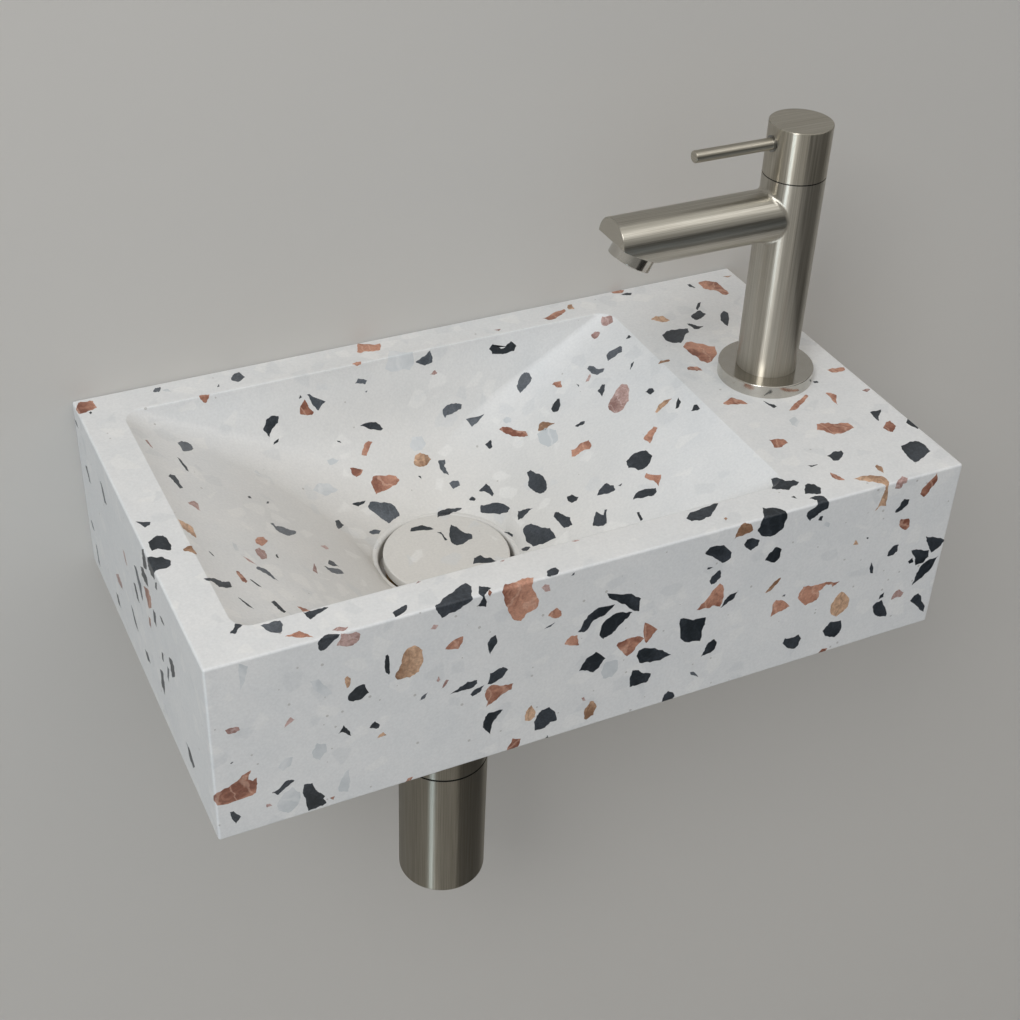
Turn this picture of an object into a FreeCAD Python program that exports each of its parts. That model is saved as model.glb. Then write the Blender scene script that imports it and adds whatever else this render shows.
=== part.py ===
import FreeCAD, Part
import math
import os
import re
import Sketcher

# Driving sizes in millimetres, angles in degrees
SIZES = {
    # cast block with its bowl, deck and hollow underside
    "rim_width": 20,
    "bowl_length": 275,
    "bowl_width": 180,
    "bowl_depth": 64.5,
    "deck_width": 90,
    "deck_thickness": 25,
    "floor_thickness": 8.3,
    "skirt_depth": 15,
    "block_arris": 1.2,
    "rim_arris": 1.0,
    "rim_corner_radius": 9,
    "hollow_corner_radius": 8,
    "deck_web": 10,
    # bowl sections between the rectangular rim and the round drain recess
    "upper_rise": 48.5,
    "upper_spread_x": 0.71,
    "upper_spread_y": 0.91,
    "upper_rounding": 0.185,
    "middle_rise": 32.5,
    "middle_spread_x": 0.43,
    "middle_spread_y": 0.8,
    "middle_rounding": 0.48,
    "lower_rise": 16.5,
    "lower_spread_x": 0.19,
    "lower_spread_y": 0.56,
    "lower_rounding": 0.8,
    "foot_rise": 6.5,
    "foot_spread_x": 0.06,
    "foot_spread_y": 0.26,
    "foot_rounding": 0.95,
    "drain_flat": 0.5,
    # wall bolts and the pockets that reach them from below
    "bolt_spacing": 280,
    "bolt_drop": 75,
    "bolt_bore_radius": 5.25,
    "bush_wall": 1.75,
    "bush_collar": 4,
    "bush_collar_thickness": 2,
    "bush_clearance": 0.1,
    "bolt_pocket_width": 48,
    "bolt_pocket_reach": 60,
    "bolt_headroom": 20,
    # waste with its stone cover
    "cover_radius": 32.5,
    "cover_gap": 2.5,
    "cover_proud": 2.2,
    "drain_lip": 1.6,
    "cover_thickness": 5,
    "cover_arris": 0.8,
    "carrier_radius": 27,
    "carrier_thickness": 1.2,
    "carrier_boss_wall": 2.5,
    "carrier_boss_height": 7,
    "plug_seal_radius": 23,
    "plug_seal_thickness": 1.2,
    "closing_gap": 0.3,
    "waste_flange_radius": 31.5,
    "waste_flange_thickness": 3,
    "waste_thread_radius": 20.95,
    "waste_bore_radius": 17.2,
    "waste_length": 70,
    "drain_hole_clearance": 2,
    "top_seal_thickness": 1.5,
    "lower_seal_radius": 30,
    "lower_seal_thickness": 4,
    "slip_washer_thickness": 1.5,
    "waste_nut_flats": 54,
    "waste_nut_height": 8,
    "bridge_drop": 16,
    "bridge_height": 8,
    "bridge_width": 5,
    "cartridge_radius": 6.5,
    "cartridge_collar": 1.5,
    "cartridge_collar_height": 2,
    "cartridge_length": 24,
    "cartridge_floor": 2,
    "hub_wall": 2.5,
    "stem_radius": 3.95,
    "running_clearance": 0.05,
    "spring_length": 10,
    "spring_wire": 1.1,
    "spring_clearance": 0.3,
    # bottle trap below the waste
    "tube_radius": 16,
    "tube_wall": 1,
    "tube_flange_thickness": 2,
    "tube_clearance": 0.1,
    "inlet_nut_radius": 24,
    "inlet_nut_overlap": 14,
    "inlet_nut_lip": 3,
    "inlet_washer_thickness": 3,
    "trap_neck_gap": 8,
    "trap_radius": 25,
    "trap_wall": 1.8,
    "trap_head_height": 45.2,
    "trap_head_top": 3,
    "trap_seam": 1.2,
    "trap_seam_inset": 0.6,
    "cup_height": 89.4,
    "cup_floor": 2.2,
    "cup_edge_radius": 1.6,
    "cup_neck_height": 12,
    "cup_neck_clearance": 0.6,
    "cup_neck_wall": 1.4,
    "cup_shoulder": 3,
    "dip_clearance": 32,
    "spigot_radius": 19,
    "spigot_length": 14,
    "outlet_nut_wall": 2.5,
    "outlet_nut_overlap": 10,
    "outlet_nut_lip": 3,
    "outlet_washer_thickness": 3,
    "pipe_insertion": 12,
    "wall_insertion": 30,
    "mark_groove_width": 1.5,
    "mark_groove_depth": 0.3,
    "rosette_radius": 36,
    "rosette_depth": 10,
    "rosette_slope": 4,
    "rosette_wall": 1.5,
    # tap on the deck
    "tap_hole_radius": 17.5,
    "tap_height": 141,
    "column_radius": 15.75,
    "base_flange_radius": 25,
    "base_flange_height": 7,
    "base_flange_edge": 0.6,
    "column_seat": 3,
    "base_seal_width": 4,
    "base_seal_thickness": 1.2,
    "tail_radius": 12,
    "tail_bore_radius": 5,
    "tail_engagement": 12,
    "tail_drop": 45,
    "nipple_radius": 10.48,
    "nipple_length": 14,
    "clamp_side_gap": 1,
    "clamp_seal_thickness": 3,
    "clamp_washer_thickness": 2,
    "tap_nut_flats": 32,
    "tap_nut_height": 8,
    "thread_clearance": 0.25,
    "waterway_radius": 7.5,
    "chamber_radius": 12.5,
    # spout and aerator
    "spout_radius": 13,
    "spout_drop": 20,
    "spout_reach": 100,
    "spout_cut_foot": 73.4,
    "spout_cut_angle": 29,
    "spout_wall": 1.6,
    "spout_end_wall": 2.5,
    "spout_end_edge": 0.5,
    "spout_weld_radius": 2.5,
    "aerator_radius": 11.2,
    "aerator_proud": 6.3,
    "aerator_edge": 0.5,
    "aerator_thread_radius": 9.6,
    "aerator_thread_length": 5,
    "aerator_bore_radius": 8.4,
    "aerator_recess": 0.8,
    "aerator_insert_length": 5,
    "aerator_washer_thickness": 1.2,
    "aerator_washer_bore": 6.5,
    # headwork with its ceramic discs
    "seat_drop": 40.4,
    "seat_seal_thickness": 1.2,
    "headwork_radius": 9,
    "headwork_lip": 2,
    "headwork_port_radius": 4.5,
    "headwork_collar_height": 12,
    "headwork_collar_drop": 2.4,
    "gland_height": 9,
    "disc_radius": 5.9,
    "disc_thickness": 3,
    "disc_clearance": 0.3,
    "disc_face_gap": 0.1,
    "disc_port_radius": 1.5,
    "disc_port_offset": 3,
    "window_width": 5,
    "window_height": 6,
    "drive_thickness": 3,
    "drive_headroom": 1,
    # turning handle and its lever
    "handle_height": 26,
    "handle_gap": 0.6,
    "handle_edge": 0.5,
    "handle_cavity_radius": 12.8,
    "handle_cavity_depth": 8,
    "spindle_radius": 3.95,
    "socket_depth": 7.5,
    "slip_ring_thickness": 0.3,
    "slip_ring_inset": 0.5,
    "lever_radius": 3,
    "lever_height": 17,
    "lever_reach": 59,
    "lever_root": 7,
    "lever_edge": 0.4,
    "lever_ring_width": 1,
    "lever_ring_depth": 1.2,
    "lever_ring_proud": 0.4,
    "grub_radius": 2,
    "grub_height": 11.5,
    "grub_recess": 1,
    "press_clearance": 0.05,
}

# Stations along X, Y and Z in the frame of the wall bolts, as formulas of the sizes
BASIN_WIDTH = "(rim_width + bowl_length + deck_width)"
BASIN_DEPTH = "(bowl_width + 2 * rim_width)"
DRAIN_X = "((rim_width - deck_width) / 2)"
DRAIN_Y = "(-bowl_width / 2 - rim_width)"
TAP_X = "((rim_width + bowl_length) / 2)"
RECESS_RADIUS = "(cover_radius + cover_gap)"

COVER_TOP = "(bolt_drop - bowl_depth)"
DRAIN_RIM = f"({COVER_TOP} - cover_proud)"
COVER_UNDER = f"({COVER_TOP} - cover_thickness)"
CARRIER_UNDER = f"({COVER_UNDER} - carrier_thickness)"
WASTE_TOP = f"({CARRIER_UNDER} - plug_seal_thickness - closing_gap)"
WASTE_FLANGE_UNDER = f"({WASTE_TOP} - waste_flange_thickness)"
LEDGE = f"({WASTE_FLANGE_UNDER} - top_seal_thickness)"
CEILING = f"({LEDGE} - floor_thickness)"
UNDERSIDE = f"({CEILING} - skirt_depth)"
WASTE_END = f"({WASTE_TOP} - waste_length)"

LOWER_SEAL_UNDER = f"({CEILING} - lower_seal_thickness)"
SLIP_WASHER_UNDER = f"({LOWER_SEAL_UNDER} - slip_washer_thickness)"
BRIDGE_TOP = f"({WASTE_TOP} - bridge_drop)"
CARTRIDGE_END = f"({BRIDGE_TOP} - cartridge_length)"
SPRING_SEAT = f"({CARTRIDGE_END} + cartridge_floor)"
STEM_END = f"({SPRING_SEAT} + spring_length)"
STEM_BORE = "(stem_radius + running_clearance)"

TUBE_TOP = f"({WASTE_END} - inlet_washer_thickness)"
TUBE_FLANGE_UNDER = f"({TUBE_TOP} - tube_flange_thickness)"
INLET_NUT_END = f"({TUBE_FLANGE_UNDER} - inlet_nut_lip)"
NUT_BORE = "(waste_thread_radius + thread_clearance)"
TUBE_BORE = "(tube_radius - tube_wall)"
TUBE_HOLE = "(tube_radius + tube_clearance)"
HEAD_TOP = f"({INLET_NUT_END} - trap_neck_gap)"
HEAD_END = f"({HEAD_TOP} - trap_head_height)"
HEAD_BORE = "(trap_radius - trap_wall)"
OUTLET_Z = f"({HEAD_TOP} - trap_head_height / 2)"
CUP_TOP = f"({HEAD_END} - trap_seam)"
CUP_END = f"({CUP_TOP} - cup_height)"
CUP_NECK = f"({HEAD_BORE} - cup_neck_clearance)"
SPIGOT_END = "(trap_radius + spigot_length)"
OUTLET_NUT_END = f"({SPIGOT_END} + outlet_washer_thickness + outlet_nut_lip)"

COLUMN_TOP = "(tap_height - handle_height - handle_gap)"
HANDLE_UNDER = "(tap_height - handle_height)"
TAIL_TOP = "(column_seat + tail_engagement)"
CLAMP_SEAL_UNDER = "(-deck_thickness - clamp_seal_thickness)"
CLAMP_WASHER_UNDER = f"({CLAMP_SEAL_UNDER} - clamp_washer_thickness)"
TAIL_HOLE = "(tail_radius + thread_clearance)"
CLAMP_RADIUS = "(deck_width / 2 - rim_width - clamp_side_gap)"
SPOUT_HEIGHT = f"({COLUMN_TOP} - spout_drop)"
SPOUT_UNDER = f"({SPOUT_HEIGHT} - spout_radius)"
SPOUT_FACE_X = "(-(spout_reach + spout_cut_foot) / 2)"
SPOUT_FACE_Z = f"({SPOUT_UNDER} + (spout_reach - spout_cut_foot) / 2 * tan(spout_cut_angle))"
SEAT_HEIGHT = f"({COLUMN_TOP} - seat_drop)"
HEADWORK_END = f"({SEAT_HEIGHT} + seat_seal_thickness)"
FIXED_DISC = f"({HEADWORK_END} + headwork_lip)"
TURNING_DISC = f"({FIXED_DISC} + disc_thickness + disc_face_gap)"
DRIVE = f"({TURNING_DISC} + disc_thickness)"
DRIVE_TOP = f"({DRIVE} + drive_thickness)"
HEADWORK_COLLAR_TOP = f"({COLUMN_TOP} - headwork_collar_drop)"
GLAND_TOP = f"({HEADWORK_COLLAR_TOP} + gland_height)"
DISC_BORE = "(disc_radius + disc_clearance)"
SPINDLE_BORE = "(spindle_radius + running_clearance)"
CAVITY_TOP = f"({HANDLE_UNDER} + handle_cavity_depth)"
SOCKET_TOP = f"({CAVITY_TOP} + socket_depth)"
SOCKET_RADIUS = "(spindle_radius + press_clearance)"

# Turns that lay a piece's own Z axis along the wall's normal, along the spout or down the aerator
UPRIGHT = FreeCAD.Rotation()
TO_WALL = FreeCAD.Rotation(FreeCAD.Vector(1, 0, 0), -90)
ALONG_SPOUT = FreeCAD.Rotation(FreeCAD.Vector(0, 1, 0), -90)
AWAY_FROM_SPOUT = FreeCAD.Rotation(FreeCAD.Vector(0, 1, 0), 90)

# Places of the main axes
AT_ORIGIN = ("0", "0", "0")
AT_DRAIN = (DRAIN_X, DRAIN_Y, "0")
AT_TAP = (TAP_X, DRAIN_Y, "bolt_drop")
AT_OUTLET = (DRAIN_X, DRAIN_Y, OUTLET_Z)
AT_LEVER = (TAP_X, DRAIN_Y, f"bolt_drop + {HANDLE_UNDER} + lever_height")
AT_GRUB = (TAP_X, DRAIN_Y, f"bolt_drop + {HANDLE_UNDER} + grub_height")
AT_SPOUT = (TAP_X, DRAIN_Y, f"bolt_drop + {SPOUT_HEIGHT}")
AT_SPOUT_FACE = (f"{TAP_X} + {SPOUT_FACE_X}", DRAIN_Y, f"bolt_drop + {SPOUT_FACE_Z}")
AERATOR_ANGLE = "180 + spout_cut_angle"

# Lengths under this many millimetres count as none
NO_LENGTH = 1e-3

document = FreeCAD.newDocument("cloakroom_basin")
sheet = document.addObject("Spreadsheet::Sheet", "sizes")
for row, (alias, number) in enumerate(SIZES.items(), start=1):
    sheet.set(f"A{row}", alias)
    sheet.set(f"B{row}", str(number))
    sheet.setAlias(f"B{row}", alias)
document.recompute()
pieces = []


def bind(owner, target, formula):
    """Tie a property to a formula of the sheet's names, which all hold an underscore."""
    owner.setExpression(target, re.sub(r"\b[a-z]+_[a-z_]+\b", r"sizes.\g<0>", formula))


def place(item, at, turn=UPRIGHT, angle=None):
    """Put an object at a point given by three formulas, turned by a fixed rotation or a bound angle."""
    if angle:
        item.Placement = FreeCAD.Placement(FreeCAD.Vector(), FreeCAD.Rotation(FreeCAD.Vector(0, 1, 0), 1))
        bind(item, "Placement.Rotation.Angle", angle)
    else:
        item.Placement = FreeCAD.Placement(FreeCAD.Vector(), turn)
    for axis, formula in zip("xyz", at):
        bind(item, f"Placement.Base.{axis}", formula)


def keep(item, label):
    """Name a finished piece, which is written to a file of that name."""
    item.Label = label
    pieces.append(item)
    return item


def new_body(name, at=AT_ORIGIN, turn=UPRIGHT, angle=None):
    body = document.addObject("PartDesign::Body", name)
    place(body, at, turn, angle)
    return body


def sketch_on(body, name, role, lift="0"):
    """A sketch on one of its body's own origin planes, moved along the plane's normal."""
    sketch = body.newObject("Sketcher::SketchObject", name)
    planes = {feature.Role: feature for feature in body.Origin.OriginFeatures}
    sketch.AttachmentSupport = (planes[role], [""])
    sketch.MapMode = "FlatFace"
    bind(sketch, "AttachmentOffset.Base.z", lift)
    return sketch


def tie(sketch, kind, geometry, point, formula, first):
    """Hold one coordinate of a sketch point at a formula, starting from a first guess."""
    index = sketch.addConstraint(Sketcher.Constraint(kind, -1, 1, geometry, point, first))
    bind(sketch, f"Constraints[{index}]", formula)


def outline(sketch, corners):
    """A closed outline of straight sides, with each corner at a pair of formulas."""
    count = len(corners)
    turns = [2 * math.pi * step / count for step in range(count)]
    guesses = [FreeCAD.Vector(math.cos(turn), math.sin(turn), 0) for turn in turns]
    start = sketch.GeometryCount
    for step in range(count):
        sketch.addGeometry(Part.LineSegment(guesses[step], guesses[(step + 1) % count]))
    for step in range(count):
        following = start + (step + 1) % count
        sketch.addConstraint(Sketcher.Constraint("Coincident", start + step, 2, following, 1))
    for step, (across, up) in enumerate(corners):
        tie(sketch, "DistanceX", start + step, 1, across, guesses[step].x)
        tie(sketch, "DistanceY", start + step, 1, up, guesses[step].y)


def circle(sketch, across, up, radius):
    """A circle whose centre and radius are formulas."""
    index = sketch.addGeometry(Part.Circle(FreeCAD.Vector(), FreeCAD.Vector(0, 0, 1), 1))
    tie(sketch, "DistanceX", index, 3, across, 0)
    tie(sketch, "DistanceY", index, 3, up, 0)
    limit = sketch.addConstraint(Sketcher.Constraint("Radius", index, 1))
    bind(sketch, f"Constraints[{limit}]", radius)


def rounded_rectangle(sketch, centre, half_x, half_y, radius):
    """Four sides joined by four tangent corner arcs, from formulas for half sizes and radius."""
    wide, high, bend = 100.0, 60.0, 20.0
    inner_x, inner_y = wide - bend, high - bend
    sides = [((wide, -inner_y), (wide, inner_y)), ((inner_x, high), (-inner_x, high)),
             ((-wide, inner_y), (-wide, -inner_y)), ((-inner_x, -high), (inner_x, -high))]
    start = sketch.GeometryCount
    for first, last in sides:
        sketch.addGeometry(Part.LineSegment(FreeCAD.Vector(*first, 0), FreeCAD.Vector(*last, 0)))
    middles = [(inner_x, inner_y), (-inner_x, inner_y), (-inner_x, -inner_y), (inner_x, -inner_y)]
    quarter = math.pi / 2
    for step, middle in enumerate(middles):
        ring = Part.Circle(FreeCAD.Vector(*middle, 0), FreeCAD.Vector(0, 0, 1), bend)
        sketch.addGeometry(Part.ArcOfCircle(ring, step * quarter, (step + 1) * quarter))
    for step in range(4):
        side = start + step
        following = start + (step + 1) % 4
        sketch.addConstraint(Sketcher.Constraint("Tangent", side, 2, side + 4, 1))
        sketch.addConstraint(Sketcher.Constraint("Tangent", side + 4, 2, following, 1))
        sketch.addConstraint(Sketcher.Constraint("Horizontal" if step % 2 else "Vertical", side))
    for arc in range(start + 4, start + 7):
        sketch.addConstraint(Sketcher.Constraint("Equal", arc, arc + 1))
    tie(sketch, "DistanceX", start, 1, f"{centre[0]} + {half_x}", wide)
    tie(sketch, "DistanceY", start + 1, 1, f"{centre[1]} + {half_y}", high)
    tie(sketch, "DistanceX", start + 2, 1, f"{centre[0]} - {half_x}", -wide)
    tie(sketch, "DistanceY", start + 3, 1, f"{centre[1]} - {half_y}", -high)
    limit = sketch.addConstraint(Sketcher.Constraint("Radius", start + 4, bend))
    bind(sketch, f"Constraints[{limit}]", radius)


def turned(name, profile, at, turn=UPRIGHT, angle=None):
    """A lathe-turned piece: a half section of (radius, height) formulas turned round its own axis."""
    body = new_body(name, at, turn, angle)
    sketch = sketch_on(body, f"{name}_profile", "XZ_Plane")
    outline(sketch, profile)
    feature = body.newObject("PartDesign::Revolution", f"{name}_turning")
    feature.Profile = (sketch, [""])
    feature.ReferenceAxis = (sketch, ["V_Axis"])
    feature.Angle = 360
    return body


def ring(name, inner, outer, low, high, at, turn=UPRIGHT, angle=None):
    """A plain ring or washer between two radii and two heights."""
    profile = [(inner, low), (outer, low), (outer, high), (inner, high)]
    return turned(name, profile, at, turn, angle)


def pushed(body, kind, name, sketch, length, backwards=False, both_ways=False):
    """A pad or pocket of a sketch, along its normal, against it, or to both sides."""
    feature = body.newObject(f"PartDesign::{kind}", name)
    feature.Profile = (sketch, [""])
    feature.Reversed = backwards
    feature.Midplane = both_ways
    bind(feature, "Length", length)
    return feature


def sunk(body, name, sketch, length, backwards=False, both_ways=False):
    """A pocket that has to take material away."""
    document.recompute()
    before = body.Shape.Volume
    pushed(body, "Pocket", name, sketch, length, backwards, both_ways)
    document.recompute()
    if not body.Shape.Volume < before:
        raise RuntimeError(f"{name} cuts nothing")


def end_edge(body, top):
    """The widest round edge at one end of a turned body."""
    shape = body.Tip.Shape
    level = shape.BoundBox.ZMax if top else shape.BoundBox.ZMin
    widest = 0
    name = ""
    for number, edge in enumerate(shape.Edges, start=1):
        box = edge.BoundBox
        flat = box.ZLength < NO_LENGTH and abs(box.ZMax - level) < NO_LENGTH
        if flat and box.XLength > widest:
            widest = box.XLength
            name = f"Edge{number}"
    return name


def eased(body, name, edges, radius):
    """Round named edges of the body's last feature."""
    base = body.Tip
    feature = body.newObject("PartDesign::Fillet", name)
    feature.Base = (base, edges)
    bind(feature, "Radius", radius)
    document.recompute()


def ease_end(body, radius, top=True):
    """Round the outer edge at one end of a turned body."""
    document.recompute()
    eased(body, f"{body.Name}_eased_end", [end_edge(body, top)], radius)


def cylinder(name, radius, length, at, turn=UPRIGHT, angle=None):
    tool = document.addObject("Part::Cylinder", name)
    bind(tool, "Radius", radius)
    bind(tool, "Height", length)
    place(tool, at, turn, angle)
    return tool


def joined(name, members):
    fusion = document.addObject("Part::MultiFuse", name)
    fusion.Shapes = members
    return fusion


def less(name, base, tool):
    cut = document.addObject("Part::Cut", name)
    cut.Base = base
    cut.Tool = tool
    return cut


def hexagon_nut(name, flats, bore, low, height, at):
    """A hexagon nut with its corners turned off, from its width across flats and its bore."""
    corner = f"({flats} / 2 / cos(30))"
    bevel = f"({corner} - {flats} / 2)"
    high = f"({low} + {height})"
    blank = turned(f"{name}_blank", [
        (bore, low), (f"{flats} / 2", low), (corner, f"{low} + {bevel} / 2"),
        (corner, f"{high} - {bevel} / 2"), (f"{flats} / 2", high), (bore, high)], at)
    prism = document.addObject("Part::Prism", f"{name}_prism")
    prism.Polygon = 6
    bind(prism, "Circumradius", corner)
    bind(prism, "Height", height)
    place(prism, (at[0], at[1], f"{at[2]} + {low}"))
    nut = document.addObject("Part::MultiCommon", name)
    nut.Shapes = [prism, blank]
    return nut


# Cast terrazzo block with rounded arrises
basin = new_body("basin_body")
block_outline = sketch_on(basin, "block_outline", "XY_Plane", UNDERSIDE)
outline(block_outline, [
    (f"-{BASIN_WIDTH} / 2", f"-{BASIN_DEPTH}"), (f"{BASIN_WIDTH} / 2", f"-{BASIN_DEPTH}"),
    (f"{BASIN_WIDTH} / 2", "0"), (f"-{BASIN_WIDTH} / 2", "0")])
block = pushed(basin, "Pad", "block", block_outline, f"bolt_drop - {UNDERSIDE}")
document.recompute()
every_edge = [f"Edge{number}" for number in range(1, len(block.Shape.Edges) + 1)]
eased(basin, "block_arrises", every_edge, "block_arris")

# Bowl through sections that blend the rectangular rim into the round drain recess
BOWL_SECTIONS = [
    ("rim", "bolt_drop", "1", "1", "0"),
    ("upper", f"{COVER_TOP} + upper_rise", "upper_spread_x", "upper_spread_y", "upper_rounding"),
    ("middle", f"{COVER_TOP} + middle_rise", "middle_spread_x", "middle_spread_y", "middle_rounding"),
    ("lower", f"{COVER_TOP} + lower_rise", "lower_spread_x", "lower_spread_y", "lower_rounding"),
    ("foot", f"{COVER_TOP} + foot_rise", "foot_spread_x", "foot_spread_y", "foot_rounding"),
    ("drain", DRAIN_RIM, "0", "0", "1"),
]
bowl_sketches = []
for section, level, spread_x, spread_y, rounding in BOWL_SECTIONS:
    bowl_sketch = sketch_on(basin, f"bowl_{section}", "XY_Plane", level)
    drain_half = f"({RECESS_RADIUS} + drain_lip + drain_flat)"
    rounded_rectangle(
        bowl_sketch, (DRAIN_X, DRAIN_Y),
        f"({drain_half} + (bowl_length / 2 - {drain_half}) * {spread_x})",
        f"({drain_half} + (bowl_width / 2 - {drain_half}) * {spread_y})",
        f"(rim_corner_radius + ({RECESS_RADIUS} - rim_corner_radius) * {rounding})")
    bowl_sketches.append(bowl_sketch)
document.recompute()
bowl = basin.newObject("PartDesign::SubtractiveLoft", "bowl")
bowl.Profile = (bowl_sketches[0], [""])
bowl.Sections = [(bowl_sketch, [""]) for bowl_sketch in bowl_sketches[1:]]
bowl.Ruled = False
document.recompute()


def level_edges(body, level, reach_x, reach_y):
    """The level edges at one height within a rectangle round the drain's axis."""
    middle_x = (sheet.rim_width - sheet.deck_width) / 2
    middle_y = -sheet.bowl_width / 2 - sheet.rim_width
    found = []
    for number, edge in enumerate(body.Tip.Shape.Edges, start=1):
        box = edge.BoundBox
        at_level = box.ZLength < NO_LENGTH and abs(box.ZMax - level) < NO_LENGTH
        far_x = max(abs(box.XMin - middle_x), abs(box.XMax - middle_x))
        far_y = max(abs(box.YMin - middle_y), abs(box.YMax - middle_y))
        if at_level and far_x < reach_x and far_y < reach_y:
            found.append(f"Edge{number}")
    return found


# Soft arris round the bowl's mouth
mouth = level_edges(basin, sheet.bolt_drop, sheet.bowl_length / 2 + sheet.block_arris,
                    sheet.bowl_width / 2 + sheet.block_arris)
eased(basin, "mouth_arris", mouth, "rim_arris")

# Drain recess for the cover, with a soft lip, and the hole for the waste
recess_sketch = sketch_on(basin, "recess_circle", "XY_Plane", DRAIN_RIM)
circle(recess_sketch, DRAIN_X, DRAIN_Y, RECESS_RADIUS)
sunk(basin, "drain_recess", recess_sketch, f"{DRAIN_RIM} - {LEDGE}")
lip_reach = sheet.cover_radius + sheet.cover_gap + sheet.drain_lip / 2
lip = level_edges(basin, sheet.bolt_drop - sheet.bowl_depth - sheet.cover_proud, lip_reach, lip_reach)
eased(basin, "recess_lip", lip, "drain_lip")
drain_sketch = sketch_on(basin, "drain_circle", "XY_Plane", LEDGE)
circle(drain_sketch, DRAIN_X, DRAIN_Y, "waste_thread_radius + drain_hole_clearance")
sunk(basin, "drain_hole", drain_sketch, f"{LEDGE} - {UNDERSIDE}")

# Hollow underside inside a skirt as wide as the rim, and the deeper hollow below the deck
skirt_sketch = sketch_on(basin, "skirt_outline", "XY_Plane", UNDERSIDE)
rounded_rectangle(skirt_sketch, ("0", DRAIN_Y), "((bowl_length + deck_width - rim_width) / 2)",
                  "(bowl_width / 2)", "hollow_corner_radius")
sunk(basin, "underside_hollow", skirt_sketch, "skirt_depth", backwards=True)
deck_sketch = sketch_on(basin, "deck_hollow_outline", "XY_Plane", UNDERSIDE)
rounded_rectangle(deck_sketch, (f"({TAP_X} + (deck_web - rim_width) / 2)", DRAIN_Y),
                  "((deck_width - deck_web - rim_width) / 2)", "(bowl_width / 2)", "hollow_corner_radius")
sunk(basin, "deck_hollow", deck_sketch, f"bolt_drop - deck_thickness - {UNDERSIDE}", backwards=True)

# Pockets behind the wall bolts, the bolt holes and the tap hole
pocket_sketch = sketch_on(basin, "bolt_pocket_outlines", "XY_Plane", UNDERSIDE)
for sign in ("-", ""):
    rounded_rectangle(pocket_sketch, (f"{sign}bolt_spacing / 2", "(-rim_width - bolt_pocket_reach / 2)"),
                      "(bolt_pocket_width / 2)", "(bolt_pocket_reach / 2)", "hollow_corner_radius")
sunk(basin, "bolt_pockets", pocket_sketch, f"bolt_headroom - {UNDERSIDE}", backwards=True)
bolt_sketch = sketch_on(basin, "bolt_circles", "XZ_Plane")
for sign in ("-", ""):
    circle(bolt_sketch, f"{sign}bolt_spacing / 2", "0", "bolt_bore_radius + bush_wall + bush_clearance")
sunk(basin, "bolt_holes", bolt_sketch, "2 * rim_width + bush_collar", both_ways=True)
tap_hole_sketch = sketch_on(basin, "tap_hole_circle", "XY_Plane", "bolt_drop")
circle(tap_hole_sketch, TAP_X, DRAIN_Y, "tap_hole_radius")
sunk(basin, "tap_hole", tap_hole_sketch, "2 * deck_thickness")
keep(basin, "basin_body")

# Plastic bushes that line the bolt holes, collars towards the room
bushes = []
for side, sign in (("left", "-"), ("right", "")):
    bushes.append(turned(f"{side}_bush", [
        ("bolt_bore_radius", "-rim_width - bush_collar_thickness"),
        ("bolt_bore_radius + bush_wall + bush_collar", "-rim_width - bush_collar_thickness"),
        ("bolt_bore_radius + bush_wall + bush_collar", "-rim_width"),
        ("bolt_bore_radius + bush_wall", "-rim_width"),
        ("bolt_bore_radius + bush_wall", "0"),
        ("bolt_bore_radius", "0")], (f"{sign}bolt_spacing / 2", "0", "0"), TO_WALL))
bush_pair = document.addObject("Part::Compound", "bush_pair")
bush_pair.Links = bushes
keep(bush_pair, "wall_bolt_bushes")

# Waste body: flange, threaded tail and the bridge that holds the click cartridge
waste = turned("waste_body", [
    ("waste_bore_radius", WASTE_END), ("waste_thread_radius", WASTE_END),
    ("waste_thread_radius", WASTE_FLANGE_UNDER), ("waste_flange_radius", WASTE_FLANGE_UNDER),
    ("waste_flange_radius", WASTE_TOP), ("waste_bore_radius", WASTE_TOP)], AT_DRAIN)
bridge_sketch = sketch_on(waste, "bridge_outline", "XY_Plane", BRIDGE_TOP)
bridge_half = "(waste_bore_radius + waste_thread_radius) / 2"
outline(bridge_sketch, [
    (f"-{bridge_half}", "-bridge_width / 2"), (bridge_half, "-bridge_width / 2"),
    (bridge_half, "bridge_width / 2"), (f"-{bridge_half}", "bridge_width / 2")])
pushed(waste, "Pad", "bridge", bridge_sketch, "bridge_height", backwards=True)
hub_sketch = sketch_on(waste, "hub_circle", "XY_Plane", BRIDGE_TOP)
circle(hub_sketch, "0", "0", "cartridge_radius + press_clearance + hub_wall")
pushed(waste, "Pad", "hub", hub_sketch, "bridge_height", backwards=True)
hub_bore_sketch = sketch_on(waste, "hub_bore_circle", "XY_Plane", BRIDGE_TOP)
circle(hub_bore_sketch, "0", "0", "cartridge_radius + press_clearance")
sunk(waste, "hub_bore", hub_bore_sketch, "bridge_height")
keep(waste, "waste_body")

# Seals, washer and nut that clamp the waste to the basin floor
SEAL_BORE = "waste_thread_radius + thread_clearance"
keep(ring("waste_top_seal", SEAL_BORE, "waste_flange_radius - block_arris", LEDGE, WASTE_FLANGE_UNDER,
          AT_DRAIN), "waste_top_seal")
keep(ring("waste_lower_seal", SEAL_BORE, "lower_seal_radius", LOWER_SEAL_UNDER, CEILING, AT_DRAIN),
     "waste_lower_seal")
keep(ring("waste_slip_washer", SEAL_BORE, "lower_seal_radius", SLIP_WASHER_UNDER, LOWER_SEAL_UNDER,
          AT_DRAIN), "waste_slip_washer")
keep(hexagon_nut("waste_backnut", "waste_nut_flats", SEAL_BORE,
                 f"({SLIP_WASHER_UNDER} - waste_nut_height)", "waste_nut_height", AT_DRAIN), "waste_backnut")

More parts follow.
